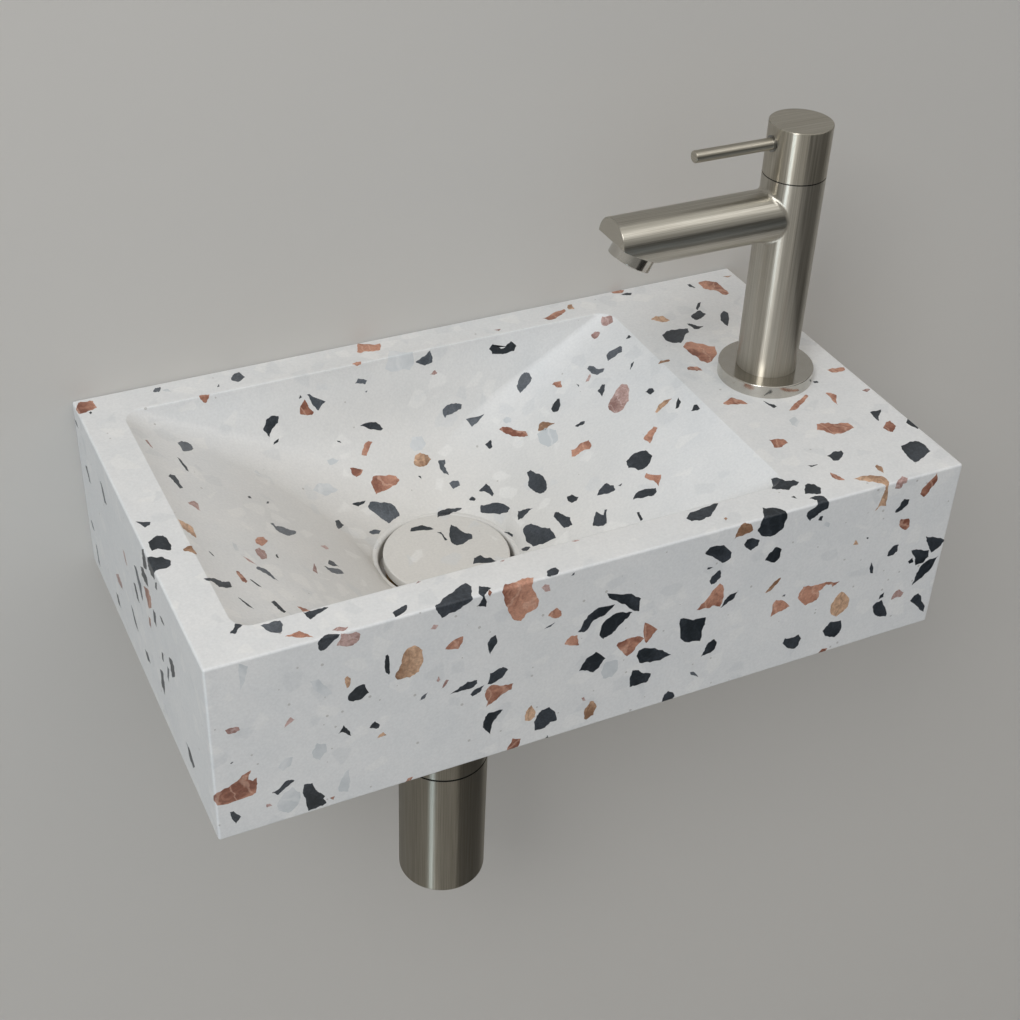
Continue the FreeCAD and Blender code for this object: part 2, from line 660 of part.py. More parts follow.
# Click cartridge in the bridge, with its spring below the stem
keep(turned("click_cartridge", [
    ("0", CARTRIDGE_END), ("cartridge_radius", CARTRIDGE_END), ("cartridge_radius", BRIDGE_TOP),
    ("cartridge_radius + cartridge_collar", BRIDGE_TOP),
    ("cartridge_radius + cartridge_collar", f"{BRIDGE_TOP} + cartridge_collar_height"),
    (STEM_BORE, f"{BRIDGE_TOP} + cartridge_collar_height"), (STEM_BORE, SPRING_SEAT),
    ("0", SPRING_SEAT)], AT_DRAIN), "click_cartridge")
SPRING_OUTSIDE = f"{STEM_BORE} - spring_clearance"
keep(ring("click_spring", f"{SPRING_OUTSIDE} - spring_wire", SPRING_OUTSIDE, SPRING_SEAT, STEM_END, AT_DRAIN),
     "click_spring")

# Stone cover with its carrier plate, stem and closing seal, which rise together
cover = turned("waste_cover", [
    ("0", COVER_UNDER), ("cover_radius", COVER_UNDER), ("cover_radius", COVER_TOP), ("0", COVER_TOP)],
    AT_DRAIN)
ease_end(cover, "cover_arris")
keep(cover, "waste_cover")
BOSS_BORE = "(stem_radius + press_clearance)"
BOSS_RADIUS = f"({BOSS_BORE} + carrier_boss_wall)"
BOSS_UNDER = f"({CARRIER_UNDER} - carrier_boss_height)"
keep(turned("cover_carrier", [
    ("0", CARRIER_UNDER), (BOSS_BORE, CARRIER_UNDER), (BOSS_BORE, BOSS_UNDER), (BOSS_RADIUS, BOSS_UNDER),
    (BOSS_RADIUS, CARRIER_UNDER), ("carrier_radius", CARRIER_UNDER), ("carrier_radius", COVER_UNDER),
    ("0", COVER_UNDER)], AT_DRAIN), "cover_carrier")
keep(turned("cover_stem", [
    ("0", STEM_END), ("stem_radius", STEM_END), ("stem_radius", CARRIER_UNDER), ("0", CARRIER_UNDER)],
    AT_DRAIN), "cover_stem")
keep(ring("cover_seal", f"{BOSS_RADIUS} + press_clearance", "plug_seal_radius",
          f"{CARRIER_UNDER} - plug_seal_thickness", CARRIER_UNDER, AT_DRAIN), "cover_seal")

# Trap inlet: union nut on the waste's thread, washer and the dip tube with its flange
inlet_nut = turned("trap_inlet_nut", [
    (NUT_BORE, f"{WASTE_END} + inlet_nut_overlap"), (NUT_BORE, TUBE_FLANGE_UNDER),
    (TUBE_HOLE, TUBE_FLANGE_UNDER), (TUBE_HOLE, INLET_NUT_END), ("inlet_nut_radius", INLET_NUT_END),
    ("inlet_nut_radius", f"{WASTE_END} + inlet_nut_overlap")], AT_DRAIN)
ease_end(inlet_nut, "block_arris", top=False)
keep(inlet_nut, "trap_inlet_nut")
keep(ring("trap_inlet_washer", TUBE_BORE, "waste_thread_radius", TUBE_TOP, WASTE_END, AT_DRAIN),
     "trap_inlet_washer")
keep(turned("trap_dip_tube", [
    (TUBE_BORE, TUBE_TOP), (TUBE_BORE, f"{CUP_END} + dip_clearance"),
    ("tube_radius", f"{CUP_END} + dip_clearance"), ("tube_radius", TUBE_FLANGE_UNDER),
    ("waste_thread_radius", TUBE_FLANGE_UNDER), ("waste_thread_radius", TUBE_TOP)], AT_DRAIN),
     "trap_dip_tube")

# Trap head with its side spigot, hollow above the cup
head_outside = turned("trap_head_outside", [
    ("0", HEAD_END), ("trap_radius", HEAD_END), ("trap_radius", HEAD_TOP), ("0", HEAD_TOP)], AT_DRAIN)
ease_end(head_outside, "cup_edge_radius")
spigot = cylinder("trap_spigot", "spigot_radius", SPIGOT_END, AT_OUTLET, TO_WALL)
head_solid = joined("trap_head_solid", [head_outside, spigot])
head_inside = turned("trap_head_inside", [
    ("0", HEAD_END), (HEAD_BORE, HEAD_END), (HEAD_BORE, f"{HEAD_TOP} - trap_head_top"),
    (TUBE_HOLE, f"{HEAD_TOP} - trap_head_top"), (TUBE_HOLE, HEAD_TOP), ("0", HEAD_TOP)], AT_DRAIN)
spigot_bore = cylinder("trap_spigot_bore", TUBE_HOLE, SPIGOT_END, AT_OUTLET, TO_WALL)
head_hollow = joined("trap_head_hollow", [head_inside, spigot_bore])
keep(less("trap_head_cut", head_solid, head_hollow), "trap_head")

# Trap cup, screwed up into the head, with the dark seal in the joint between them
cup = turned("trap_cup", [
    ("0", CUP_END), ("trap_radius", CUP_END), ("trap_radius", CUP_TOP), (CUP_NECK, CUP_TOP),
    (CUP_NECK, f"{HEAD_END} + cup_neck_height"),
    (f"{CUP_NECK} - cup_neck_wall", f"{HEAD_END} + cup_neck_height"),
    (f"{CUP_NECK} - cup_neck_wall", f"{CUP_TOP} - cup_shoulder"), (HEAD_BORE, f"{CUP_TOP} - cup_shoulder"),
    (HEAD_BORE, f"{CUP_END} + cup_floor"), ("0", f"{CUP_END} + cup_floor")], AT_DRAIN)
ease_end(cup, "cup_edge_radius", top=False)
keep(cup, "trap_cup")
keep(ring("trap_cup_seal", f"{CUP_NECK} + press_clearance", "trap_radius - trap_seam_inset", CUP_TOP,
          HEAD_END, AT_DRAIN), "trap_cup_seal")

# Trap outlet: nut, washer and pipe into the wall, with a mark groove at the wall and the rosette over it
OUTLET_NUT_BORE = "(spigot_radius + thread_clearance)"
OUTLET_NUT_RADIUS = f"({OUTLET_NUT_BORE} + outlet_nut_wall)"
outlet_nut = turned("trap_outlet_nut", [
    (OUTLET_NUT_BORE, f"{SPIGOT_END} - outlet_nut_overlap"),
    (OUTLET_NUT_RADIUS, f"{SPIGOT_END} - outlet_nut_overlap"), (OUTLET_NUT_RADIUS, OUTLET_NUT_END),
    (TUBE_HOLE, OUTLET_NUT_END), (TUBE_HOLE, f"{OUTLET_NUT_END} - outlet_nut_lip"),
    (OUTLET_NUT_BORE, f"{OUTLET_NUT_END} - outlet_nut_lip")], AT_OUTLET, TO_WALL)
ease_end(outlet_nut, "block_arris")
keep(outlet_nut, "trap_outlet_nut")
keep(ring("trap_outlet_washer", TUBE_HOLE, "spigot_radius", SPIGOT_END,
          f"{SPIGOT_END} + outlet_washer_thickness", AT_OUTLET, TO_WALL), "trap_outlet_washer")
PIPE_START = f"({DRAIN_Y} + {SPIGOT_END} - pipe_insertion)"
GROOVE_RADIUS = "tube_radius - mark_groove_depth"
keep(turned("trap_outlet_pipe", [
    (TUBE_BORE, PIPE_START), ("tube_radius", PIPE_START), ("tube_radius", "-mark_groove_width"),
    (GROOVE_RADIUS, "-mark_groove_width"), (GROOVE_RADIUS, "0"), ("tube_radius", "0"),
    ("tube_radius", "wall_insertion"), (TUBE_BORE, "wall_insertion")], (DRAIN_X, "0", OUTLET_Z), TO_WALL),
     "trap_outlet_pipe")
ROSETTE_SHOULDER = "-rosette_depth + rosette_slope"
keep(turned("wall_rosette", [
    (TUBE_HOLE, "-rosette_depth"), ("rosette_radius - 2 * rosette_slope", "-rosette_depth"),
    ("rosette_radius", ROSETTE_SHOULDER), ("rosette_radius", "0"),
    ("rosette_radius - rosette_wall", "0"), ("rosette_radius - rosette_wall", ROSETTE_SHOULDER),
    ("rosette_radius - 2 * rosette_slope", "-rosette_depth + rosette_wall"),
    (TUBE_HOLE, "-rosette_depth + rosette_wall")], (DRAIN_X, "0", OUTLET_Z), TO_WALL), "wall_rosette")

# Base flange of the tap, its seal and the threaded tail through the deck
SEAL_OUTSIDE = "(base_flange_radius - block_arris)"
SEAL_INSIDE = f"({SEAL_OUTSIDE} - base_seal_width)"
base_flange = turned("tap_base_flange", [
    (TAIL_HOLE, "0"), (SEAL_INSIDE, "0"), (SEAL_INSIDE, "base_seal_thickness"),
    (SEAL_OUTSIDE, "base_seal_thickness"), (SEAL_OUTSIDE, "0"), ("base_flange_radius", "0"),
    ("base_flange_radius", "base_flange_height"), ("column_radius + press_clearance", "base_flange_height"),
    ("column_radius + press_clearance", "column_seat"), (TAIL_HOLE, "column_seat")], AT_TAP)
ease_end(base_flange, "base_flange_edge")
keep(base_flange, "tap_base_flange")
keep(ring("tap_base_seal", SEAL_INSIDE, SEAL_OUTSIDE, "0", "base_seal_thickness", AT_TAP), "tap_base_seal")
keep(turned("tap_tail", [
    ("tail_bore_radius", "-tail_drop - nipple_length"), ("nipple_radius", "-tail_drop - nipple_length"),
    ("nipple_radius", "-tail_drop"), ("tail_radius", "-tail_drop"), ("tail_radius", TAIL_TOP),
    ("tail_bore_radius", TAIL_TOP)], AT_TAP), "tap_tail")
keep(ring("tap_clamp_seal", TAIL_HOLE, CLAMP_RADIUS, CLAMP_SEAL_UNDER, "-deck_thickness", AT_TAP),
     "tap_clamp_seal")
keep(ring("tap_clamp_washer", TAIL_HOLE, CLAMP_RADIUS, CLAMP_WASHER_UNDER, CLAMP_SEAL_UNDER, AT_TAP),
     "tap_clamp_washer")
keep(hexagon_nut("tap_backnut", "tap_nut_flats", TAIL_HOLE, f"({CLAMP_WASHER_UNDER} - tap_nut_height)",
                 "tap_nut_height", AT_TAP), "tap_backnut")

# Tap column with the welded spout, whose end is upright above and cut obliquely below for the aerator
tap_outside = turned("tap_outside", [
    ("0", "column_seat"), ("column_radius", "column_seat"), ("column_radius", COLUMN_TOP), ("0", COLUMN_TOP)],
    AT_TAP)
spout_sketch = sketch_on(tap_outside, "spout_circle", "YZ_Plane")
circle(spout_sketch, "0", SPOUT_HEIGHT, "spout_radius")
pushed(tap_outside, "Pad", "spout", spout_sketch, "spout_reach", backwards=True)
cut_sketch = sketch_on(tap_outside, "spout_cut_outline", "XZ_Plane")
CUT_RIGHT = "-spout_cut_foot + spout_radius"
CUT_LEFT = "-spout_reach - spout_radius"
CUT_LOW = f"{SPOUT_UNDER} - spout_radius * tan(spout_cut_angle)"
CUT_HIGH = f"{SPOUT_UNDER} + (spout_reach + spout_radius - spout_cut_foot) * tan(spout_cut_angle)"
outline(cut_sketch, [(CUT_LEFT, CUT_HIGH), (CUT_LEFT, CUT_LOW), (CUT_RIGHT, CUT_LOW)])
sunk(tap_outside, "spout_cut", cut_sketch, "4 * spout_radius", both_ways=True)
weld_edges = []
for number, edge in enumerate(tap_outside.Tip.Shape.Edges, start=1):
    box = edge.BoundBox
    spans_spout = box.ZLength > sheet.spout_radius and box.YLength > sheet.spout_radius
    at_column = box.XMax < 0 and box.XMin > -sheet.column_radius - sheet.spout_weld_radius
    if spans_spout and at_column:
        weld_edges.append(f"Edge{number}")
eased(tap_outside, "spout_weld", weld_edges, "spout_weld_radius")
end_edges = []
for number, edge in enumerate(tap_outside.Tip.Shape.Edges, start=1):
    if edge.BoundBox.XMax < -sheet.spout_reach + NO_LENGTH:
        end_edges.append(f"Edge{number}")
eased(tap_outside, "spout_end_easing", end_edges, "spout_end_edge")

# Waterway through the tap: tail socket, riser, headwork chamber, spout bore and aerator hole
column_hollow = turned("column_hollow", [
    ("0", "column_seat"), (TAIL_HOLE, "column_seat"), (TAIL_HOLE, TAIL_TOP), ("waterway_radius", TAIL_TOP),
    ("waterway_radius", SEAT_HEIGHT), ("chamber_radius", SEAT_HEIGHT), ("chamber_radius", COLUMN_TOP),
    ("0", COLUMN_TOP)], AT_TAP)
spout_tube = cylinder("spout_tube", "spout_radius - spout_wall", "spout_reach - spout_end_wall",
                      AT_SPOUT, ALONG_SPOUT)
spout_limit = cylinder("spout_limit", "4 * spout_reach", "4 * spout_reach", (
    f"{AT_SPOUT_FACE[0]} + spout_end_wall * sin(spout_cut_angle)", DRAIN_Y,
    f"{AT_SPOUT_FACE[2]} + spout_end_wall * cos(spout_cut_angle)"), angle="spout_cut_angle")
spout_hollow = document.addObject("Part::MultiCommon", "spout_hollow")
spout_hollow.Shapes = [spout_tube, spout_limit]
aerator_hole = cylinder("aerator_hole", "aerator_thread_radius + thread_clearance", "2 * spout_end_wall",
                        AT_SPOUT_FACE, angle="spout_cut_angle")
waterway = joined("tap_waterway", [column_hollow, spout_hollow, aerator_hole])
keep(less("tap_cut", tap_outside, waterway), "tap_body")

# Aerator: polished collar screwed into the spout, its flow insert and washer
THREAD_END = "(-aerator_thread_length)"
aerator = turned("aerator_collar", [
    ("aerator_bore_radius", THREAD_END), ("aerator_thread_radius", THREAD_END),
    ("aerator_thread_radius", "0"), ("aerator_radius", "0"), ("aerator_radius", "aerator_proud"),
    ("aerator_bore_radius", "aerator_proud")], AT_SPOUT_FACE, angle=AERATOR_ANGLE)
ease_end(aerator, "aerator_edge")
keep(aerator, "aerator_collar")
INSERT_TOP = "(aerator_proud - aerator_recess)"
keep(turned("aerator_insert", [
    ("0", f"{INSERT_TOP} - aerator_insert_length"),
    ("aerator_bore_radius - press_clearance", f"{INSERT_TOP} - aerator_insert_length"),
    ("aerator_bore_radius - press_clearance", INSERT_TOP), ("0", INSERT_TOP)], AT_SPOUT_FACE,
    angle=AERATOR_ANGLE), "aerator_insert")
keep(ring("aerator_washer", "aerator_washer_bore", "aerator_thread_radius - thread_clearance",
          f"{THREAD_END} - aerator_washer_thickness", THREAD_END, AT_SPOUT_FACE, angle=AERATOR_ANGLE),
     "aerator_washer")

# Headwork: body with two windows, seat seal and the fixed ceramic disc
headwork = turned("headwork_body", [
    ("headwork_port_radius", HEADWORK_END), ("headwork_radius", HEADWORK_END),
    ("headwork_radius", f"{HEADWORK_COLLAR_TOP} - headwork_collar_height"),
    ("chamber_radius - thread_clearance", f"{HEADWORK_COLLAR_TOP} - headwork_collar_height"),
    ("chamber_radius - thread_clearance", HEADWORK_COLLAR_TOP), ("headwork_radius", HEADWORK_COLLAR_TOP),
    ("headwork_radius", GLAND_TOP), (SPINDLE_BORE, GLAND_TOP),
    (SPINDLE_BORE, f"{DRIVE_TOP} + drive_headroom"), (DISC_BORE, f"{DRIVE_TOP} + drive_headroom"),
    (DISC_BORE, FIXED_DISC), ("headwork_port_radius", FIXED_DISC)], AT_TAP)
window_sketch = sketch_on(headwork, "window_outline", "XZ_Plane")
WINDOW_FOOT = f"({FIXED_DISC} + disc_thickness)"
outline(window_sketch, [
    ("-window_width / 2", WINDOW_FOOT), ("window_width / 2", WINDOW_FOOT),
    ("window_width / 2", f"{WINDOW_FOOT} + window_height"),
    ("-window_width / 2", f"{WINDOW_FOOT} + window_height")])
sunk(headwork, "windows", window_sketch, "4 * headwork_radius", both_ways=True)
keep(headwork, "headwork_body")
keep(ring("headwork_seal", "headwork_port_radius + seat_seal_thickness", "headwork_radius", SEAT_HEIGHT,
          HEADWORK_END, AT_TAP), "headwork_seal")


def ceramic_disc(name, low, across, up):
    """A ceramic disc with two round ports on opposite sides of its middle."""
    disc = new_body(name, AT_TAP)
    sketch = sketch_on(disc, f"{name}_outline", "XY_Plane", low)
    circle(sketch, "0", "0", "disc_radius")
    circle(sketch, across, up, "disc_port_radius")
    circle(sketch, f"-{across}", f"-{up}", "disc_port_radius")
    pushed(disc, "Pad", f"{name}_pad", sketch, "disc_thickness")
    return keep(disc, name)


# Ceramic discs, closed at rest with the ports of one across the ports of the other
ceramic_disc("fixed_ceramic_disc", FIXED_DISC, "disc_port_offset", "0")
ceramic_disc("turning_ceramic_disc", TURNING_DISC, "0", "disc_port_offset")
keep(turned("headwork_spindle", [
    ("0", DRIVE), ("disc_radius", DRIVE), ("disc_radius", DRIVE_TOP), ("spindle_radius", DRIVE_TOP),
    ("spindle_radius", SOCKET_TOP), ("0", SOCKET_TOP)], AT_TAP), "headwork_spindle")
keep(ring("slip_ring", "chamber_radius + slip_ring_inset", "column_radius - slip_ring_inset", COLUMN_TOP,
          f"{COLUMN_TOP} + slip_ring_thickness", AT_TAP), "slip_ring")

# Handle cap with the spindle socket, the bore for the lever and the hole of the grub screw
handle = turned("handle_cap", [
    ("handle_cavity_radius", HANDLE_UNDER), ("column_radius", HANDLE_UNDER), ("column_radius", "tap_height"),
    ("0", "tap_height"), ("0", SOCKET_TOP), (SOCKET_RADIUS, SOCKET_TOP), (SOCKET_RADIUS, CAVITY_TOP),
    ("handle_cavity_radius", CAVITY_TOP)], AT_TAP)
ease_end(handle, "handle_edge")
lever_sketch = sketch_on(handle, "lever_bore_circle", "YZ_Plane", "-lever_root")
circle(lever_sketch, "0", f"{HANDLE_UNDER} + lever_height", "lever_radius + press_clearance")
sunk(handle, "lever_bore", lever_sketch, "column_radius")
RING_START = "(column_radius - lever_ring_depth)"
RING_RADIUS = "(lever_radius + press_clearance + lever_ring_width)"
ring_sketch = sketch_on(handle, "lever_ring_circle", "YZ_Plane", f"-{RING_START}")
circle(ring_sketch, "0", f"{HANDLE_UNDER} + lever_height", RING_RADIUS)
sunk(handle, "lever_ring_seat", ring_sketch, "column_radius")
grub_sketch = sketch_on(handle, "grub_hole_circle", "YZ_Plane")
circle(grub_sketch, "0", f"{HANDLE_UNDER} + grub_height", "grub_radius + press_clearance")
sunk(handle, "grub_hole", grub_sketch, "2 * column_radius", backwards=True)
keep(handle, "handle_cap")

# Lever rod with the dark ring at its root, and the grub screw that grips the spindle
lever = turned("lever_rod", [
    ("0", "lever_root"), ("lever_radius", "lever_root"), ("lever_radius", "lever_reach"),
    ("0", "lever_reach")], AT_LEVER, ALONG_SPOUT)
ease_end(lever, "lever_edge")
keep(lever, "lever_rod")
keep(ring("lever_ring", "lever_radius + press_clearance", RING_RADIUS, RING_START,
          "column_radius + lever_ring_proud", AT_LEVER, ALONG_SPOUT), "lever_ring")
keep(turned("handle_grub_screw", [
    ("0", SOCKET_RADIUS), ("grub_radius", SOCKET_RADIUS), ("grub_radius", "column_radius - grub_recess"),
    ("0", "column_radius - grub_recess")], AT_GRUB, AWAY_FROM_SPOUT), "handle_grub_screw")

# Every object has to be sound before any file is written
document.recompute()
for item in document.Objects:
    if "Invalid" in item.State or "Error" in item.State:
        raise RuntimeError(f"{item.Label} did not recompute")
for piece in pieces:
    if piece.Shape.isNull() or not piece.Shape.isValid():
        raise RuntimeError(f"{piece.Label} has no sound shape")
os.makedirs("parts", exist_ok=True)
for piece in pieces:
    piece.Shape.exportStep(f"parts/{piece.Label}.step")
print(len(pieces), "pieces written")
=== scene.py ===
import bmesh
import bpy
import numpy as np
from mathutils import Matrix, Vector
from mathutils.bvhtree import BVHTree


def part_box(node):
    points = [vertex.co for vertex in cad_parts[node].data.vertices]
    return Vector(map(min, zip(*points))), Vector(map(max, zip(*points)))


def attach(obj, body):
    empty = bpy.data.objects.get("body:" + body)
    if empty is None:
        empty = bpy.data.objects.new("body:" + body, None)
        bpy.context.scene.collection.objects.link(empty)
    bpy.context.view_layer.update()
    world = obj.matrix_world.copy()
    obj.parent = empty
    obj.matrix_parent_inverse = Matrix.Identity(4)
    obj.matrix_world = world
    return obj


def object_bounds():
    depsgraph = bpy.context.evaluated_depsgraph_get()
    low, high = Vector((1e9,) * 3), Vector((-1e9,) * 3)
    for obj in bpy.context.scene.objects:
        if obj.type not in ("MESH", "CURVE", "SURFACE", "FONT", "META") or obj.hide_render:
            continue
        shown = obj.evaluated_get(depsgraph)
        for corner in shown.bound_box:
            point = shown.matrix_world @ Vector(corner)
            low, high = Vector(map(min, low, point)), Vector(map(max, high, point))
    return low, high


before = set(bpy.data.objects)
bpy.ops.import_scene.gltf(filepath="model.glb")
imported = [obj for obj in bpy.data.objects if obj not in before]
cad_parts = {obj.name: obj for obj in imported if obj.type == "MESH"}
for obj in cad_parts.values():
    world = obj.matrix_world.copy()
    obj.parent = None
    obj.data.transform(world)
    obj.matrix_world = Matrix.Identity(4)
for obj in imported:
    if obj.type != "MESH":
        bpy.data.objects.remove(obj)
cad_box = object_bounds()

# The eye: the basin hangs below eye height and is seen from the front left, looking down.
# Its place and lens follow from the block's corners in a square picture of 1020 pixels.
PICTURE = 1020
MIDDLE = PICTURE / 2
FOCAL = 1646.93
SENSOR = 36.0
NEAR, FAR = 0.01, 50
EYE = np.array([-0.31076, -0.71773, 0.52456])
RIGHT = np.array([0.90137, -0.43152, 0.03636])
DOWN = np.array([-0.22795, -0.54416, -0.80742])
FORWARD = np.array([0.36821, 0.71950, -0.58885])

eye_data = bpy.data.cameras.new("eye")
eye_data.sensor_width = SENSOR
eye_data.lens = FOCAL * SENSOR / PICTURE
eye_data.clip_start, eye_data.clip_end = NEAR, FAR
eye = bpy.data.objects.new("eye", eye_data)
eye.matrix_world = Matrix.Translation(EYE) @ Matrix(np.stack([RIGHT, -DOWN, -FORWARD], 1).tolist()).to_4x4()
bpy.context.scene.collection.objects.link(eye)
bpy.context.scene.camera = eye
bpy.context.scene.view_settings.view_transform = "Standard"


# The basin block: cast in one piece from white marble dust, white cement and stone chips.
# It is ground and honed on every side, so the edges are crisp and the face is satin.
GROUND_WHITE = "#dddddb"
GROUND_COOL = "#d6d7d6"
# the warm tone below is painted shade for the dimmer light deep in the bowl: it is mixed in round the drain's
# axis, fading out between the near and far distances, up to the bowl's share at the axis
GROUND_PAINTED_SHADE = "#ccc8c0"
GROUND_ROUGHNESS = 0.42
BOWL_PAINTED_SHADE = 0.6
DRAIN = [(low + high) / 2 for low, high in zip(*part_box("waste_cover"))][:2]
DRAIN_NEAR, DRAIN_FAR = 0.034, 0.12
# each noise is given by the size of its lumps in millimetres and by its detail
MOTTLE, MOTTLE_ROUGHNESS, MOTTLE_RANGE = (30, 6.0), 0.68, (0.35, 0.65)
GRAIN, GRAIN_SHOWS, GRAIN_BUMP, GRAIN_HEIGHT = (1.2, 3.0), 0.04, 0.06, 0.0004
# colour of the pale grains, the cell value above which a cell is one, and how far the cells are shifted
MARBLE_GRAINS = (("#c9cbcb", 0.86, 0.0), ("#e6e5e1", 0.80, 3.7))
MARBLE_MM, MARBLE_EDGE, MARBLE_SHOWS = 11, (0.12, 0.2), 0.4
SPECK_BROWN = "#8d867c"
SPECK_MM, SPECK_FROM, SPECK_LARGEST, SPECK_SHOWS = 5, 0.86, 0.15, 0.45
NOISE_RANGE, UNIT = (0.3, 0.7), (0.0, 1.0)
LEVEL = (1.0, 1.0, 0.0)
MM_IN_METRE = 1000


def linear(code):
    """The linear RGBA of an sRGB hex colour: each channel goes through the sRGB curve."""
    srgb = np.array([int(code[i:i + 2], 16) for i in (1, 3, 5)]) / 255
    return (*np.where(srgb <= 0.04045, srgb / 12.92, ((srgb + 0.055) / 1.055) ** 2.4), 1.0)


def add_node(material, kind, inputs, **settings):
    """A node of that kind with its settings, whose inputs are linked from sockets or set to values."""
    made = material.node_tree.nodes.new(kind)
    for name, value in settings.items():
        setattr(made, name, value)
    for name, value in inputs.items():
        if isinstance(value, bpy.types.NodeSocket):
            material.node_tree.links.new(value, made.inputs[name])
        else:
            made.inputs[name].default_value = value
    return made


def new_material(name, **constants):
    """A material with one shader whose named sockets are set, and that shader."""
    material = bpy.data.materials.new(name)
    material.use_nodes = True
    shader = material.node_tree.nodes["Principled BSDF"]
    for socket, value in constants.items():
        shader.inputs[socket.replace("_", " ")].default_value = value
    return material, shader


def finish_nodes(material, *names):
    """Gives these solids of the frame that one material."""
    for name in names:
        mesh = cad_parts[name].data
        mesh.materials.clear()
        mesh.materials.append(material)


def object_place(material):
    """The place on the object, in metres."""
    return add_node(material, "ShaderNodeTexCoord", {}).outputs["Object"]


def noise(material, place, size_mm, detail, **more):
    """Noise from 0 to 1 with lumps of about that size."""
    inputs = {"Vector": place, "Scale": MM_IN_METRE / size_mm, "Detail": detail, **more}
    return add_node(material, "ShaderNodeTexNoise", inputs).outputs["Fac"]


def spread(material, value, source, target):
    """The value with its source range stretched to the target range and held at both ends."""
    inputs = {"Value": value, "From Min": source[0], "From Max": source[1]}
    inputs |= {"To Min": target[0], "To Max": target[1]}
    return add_node(material, "ShaderNodeMapRange", inputs).outputs["Result"]


def calc(material, operation, *values):
    """The outcome of one operation on its values."""
    return add_node(material, "ShaderNodeMath", dict(enumerate(values)), operation=operation).outputs["Value"]


def blend(material, factor, first, second, kind="RGBA"):
    """What lies between two ends by a factor: colours, given as hex codes or sockets, or another kind."""
    first, second = (linear(end) if isinstance(end, str) else end for end in (first, second))
    inputs = {"Factor": factor, "A": first, "B": second}
    return add_node(material, "ShaderNodeMix", inputs, data_type=kind).outputs["Result"]


def scaled(material, colour, value):
    """The colour times a value."""
    inputs = {0: colour, "Scale": value}
    return add_node(material, "ShaderNodeVectorMath", inputs, operation="SCALE").outputs["Vector"]


def off_axis(material, place, axis):
    """The level distance of a place from the upright axis through x and y."""
    away = add_node(material, "ShaderNodeVectorMath", {0: place, 1: (*axis, 0.0)}, operation="SUBTRACT")
    flat = add_node(material, "ShaderNodeVectorMath", {0: away.outputs[0], 1: LEVEL}, operation="MULTIPLY")
    length = add_node(material, "ShaderNodeVectorMath", {0: flat.outputs[0]}, operation="LENGTH")
    return length.outputs["Value"]


def bumped(material, height, strength, distance):
    """The normal tilted by a height."""
    inputs = {"Height": height, "Strength": strength, "Distance": distance}
    return add_node(material, "ShaderNodeBump", inputs).outputs["Normal"]


def wire(material, shader, **sockets):
    """Links these outputs to the shader's sockets of those names."""
    for name, output in sockets.items():
        material.node_tree.links.new(output, shader.inputs[name.replace("_", " ")])


# Honed white terrazzo: marble dust gives a soft mottled white, with a warm painted shade round the drain's
# axis for the dimmer light deep in the bowl. Pale marble grains show faintly in it, a few brown grains are
# specks, and honing leaves it satin.
def honed_terrazzo(name, painted_shade_share):
    """The ground of the cast stone: two whites mottled by noise, mixed with a warm painted shade by the
    nearness of the drain's axis, grains in a few cells of two cell patterns, specks in small cells of a
    third, and a fine grain that moves the colour and the bump."""
    stone, shader = new_material(name, Roughness=GROUND_ROUGHNESS)
    place = object_place(stone)
    mottle = noise(stone, place, *MOTTLE, Roughness=MOTTLE_ROUGHNESS)
    ground = blend(stone, spread(stone, mottle, MOTTLE_RANGE, UNIT), GROUND_WHITE, GROUND_COOL)
    painted_shade = spread(stone, off_axis(stone, place, DRAIN), (DRAIN_FAR, DRAIN_NEAR), (0.0, painted_shade_share))
    ground = blend(stone, painted_shade, ground, GROUND_PAINTED_SHADE)
    for colour, share, shift in MARBLE_GRAINS:
        moved = add_node(stone, "ShaderNodeMapping", {"Vector": place, "Location": (shift, shift, shift)})
        cells = {"Vector": moved.outputs["Vector"], "Scale": MM_IN_METRE / MARBLE_MM}
        cell = add_node(stone, "ShaderNodeTexVoronoi", cells)
        edge = add_node(stone, "ShaderNodeTexVoronoi", cells, feature="DISTANCE_TO_EDGE")
        chosen = add_node(stone, "ShaderNodeSeparateColor", {"Color": cell.outputs["Color"]})
        is_grain = calc(stone, "GREATER_THAN", chosen.outputs["Red"], share)
        inside = spread(stone, edge.outputs["Distance"], MARBLE_EDGE, (0.0, MARBLE_SHOWS))
        ground = blend(stone, calc(stone, "MULTIPLY", is_grain, inside), ground, colour)
    speck = add_node(stone, "ShaderNodeTexVoronoi", {"Vector": place, "Scale": MM_IN_METRE / SPECK_MM})
    rare = add_node(stone, "ShaderNodeSeparateColor", {"Color": speck.outputs["Color"]})
    size = spread(stone, rare.outputs["Green"], (SPECK_FROM, 1.0), (0.0, SPECK_LARGEST))
    spot = calc(stone, "LESS_THAN", speck.outputs["Distance"], size)
    ground = blend(stone, calc(stone, "MULTIPLY", spot, SPECK_SHOWS), ground, SPECK_BROWN)
    grain = noise(stone, place, *GRAIN)
    dusty = spread(stone, grain, NOISE_RANGE, (1 - GRAIN_SHOWS, 1 + GRAIN_SHOWS))
    wire(stone, shader, Base_Color=scaled(stone, ground, dusty),
         Normal=bumped(stone, grain, GRAIN_BUMP, GRAIN_HEIGHT))
    return stone


finish_nodes(honed_terrazzo("honed_white_terrazzo", BOWL_PAINTED_SHADE), "basin_body")
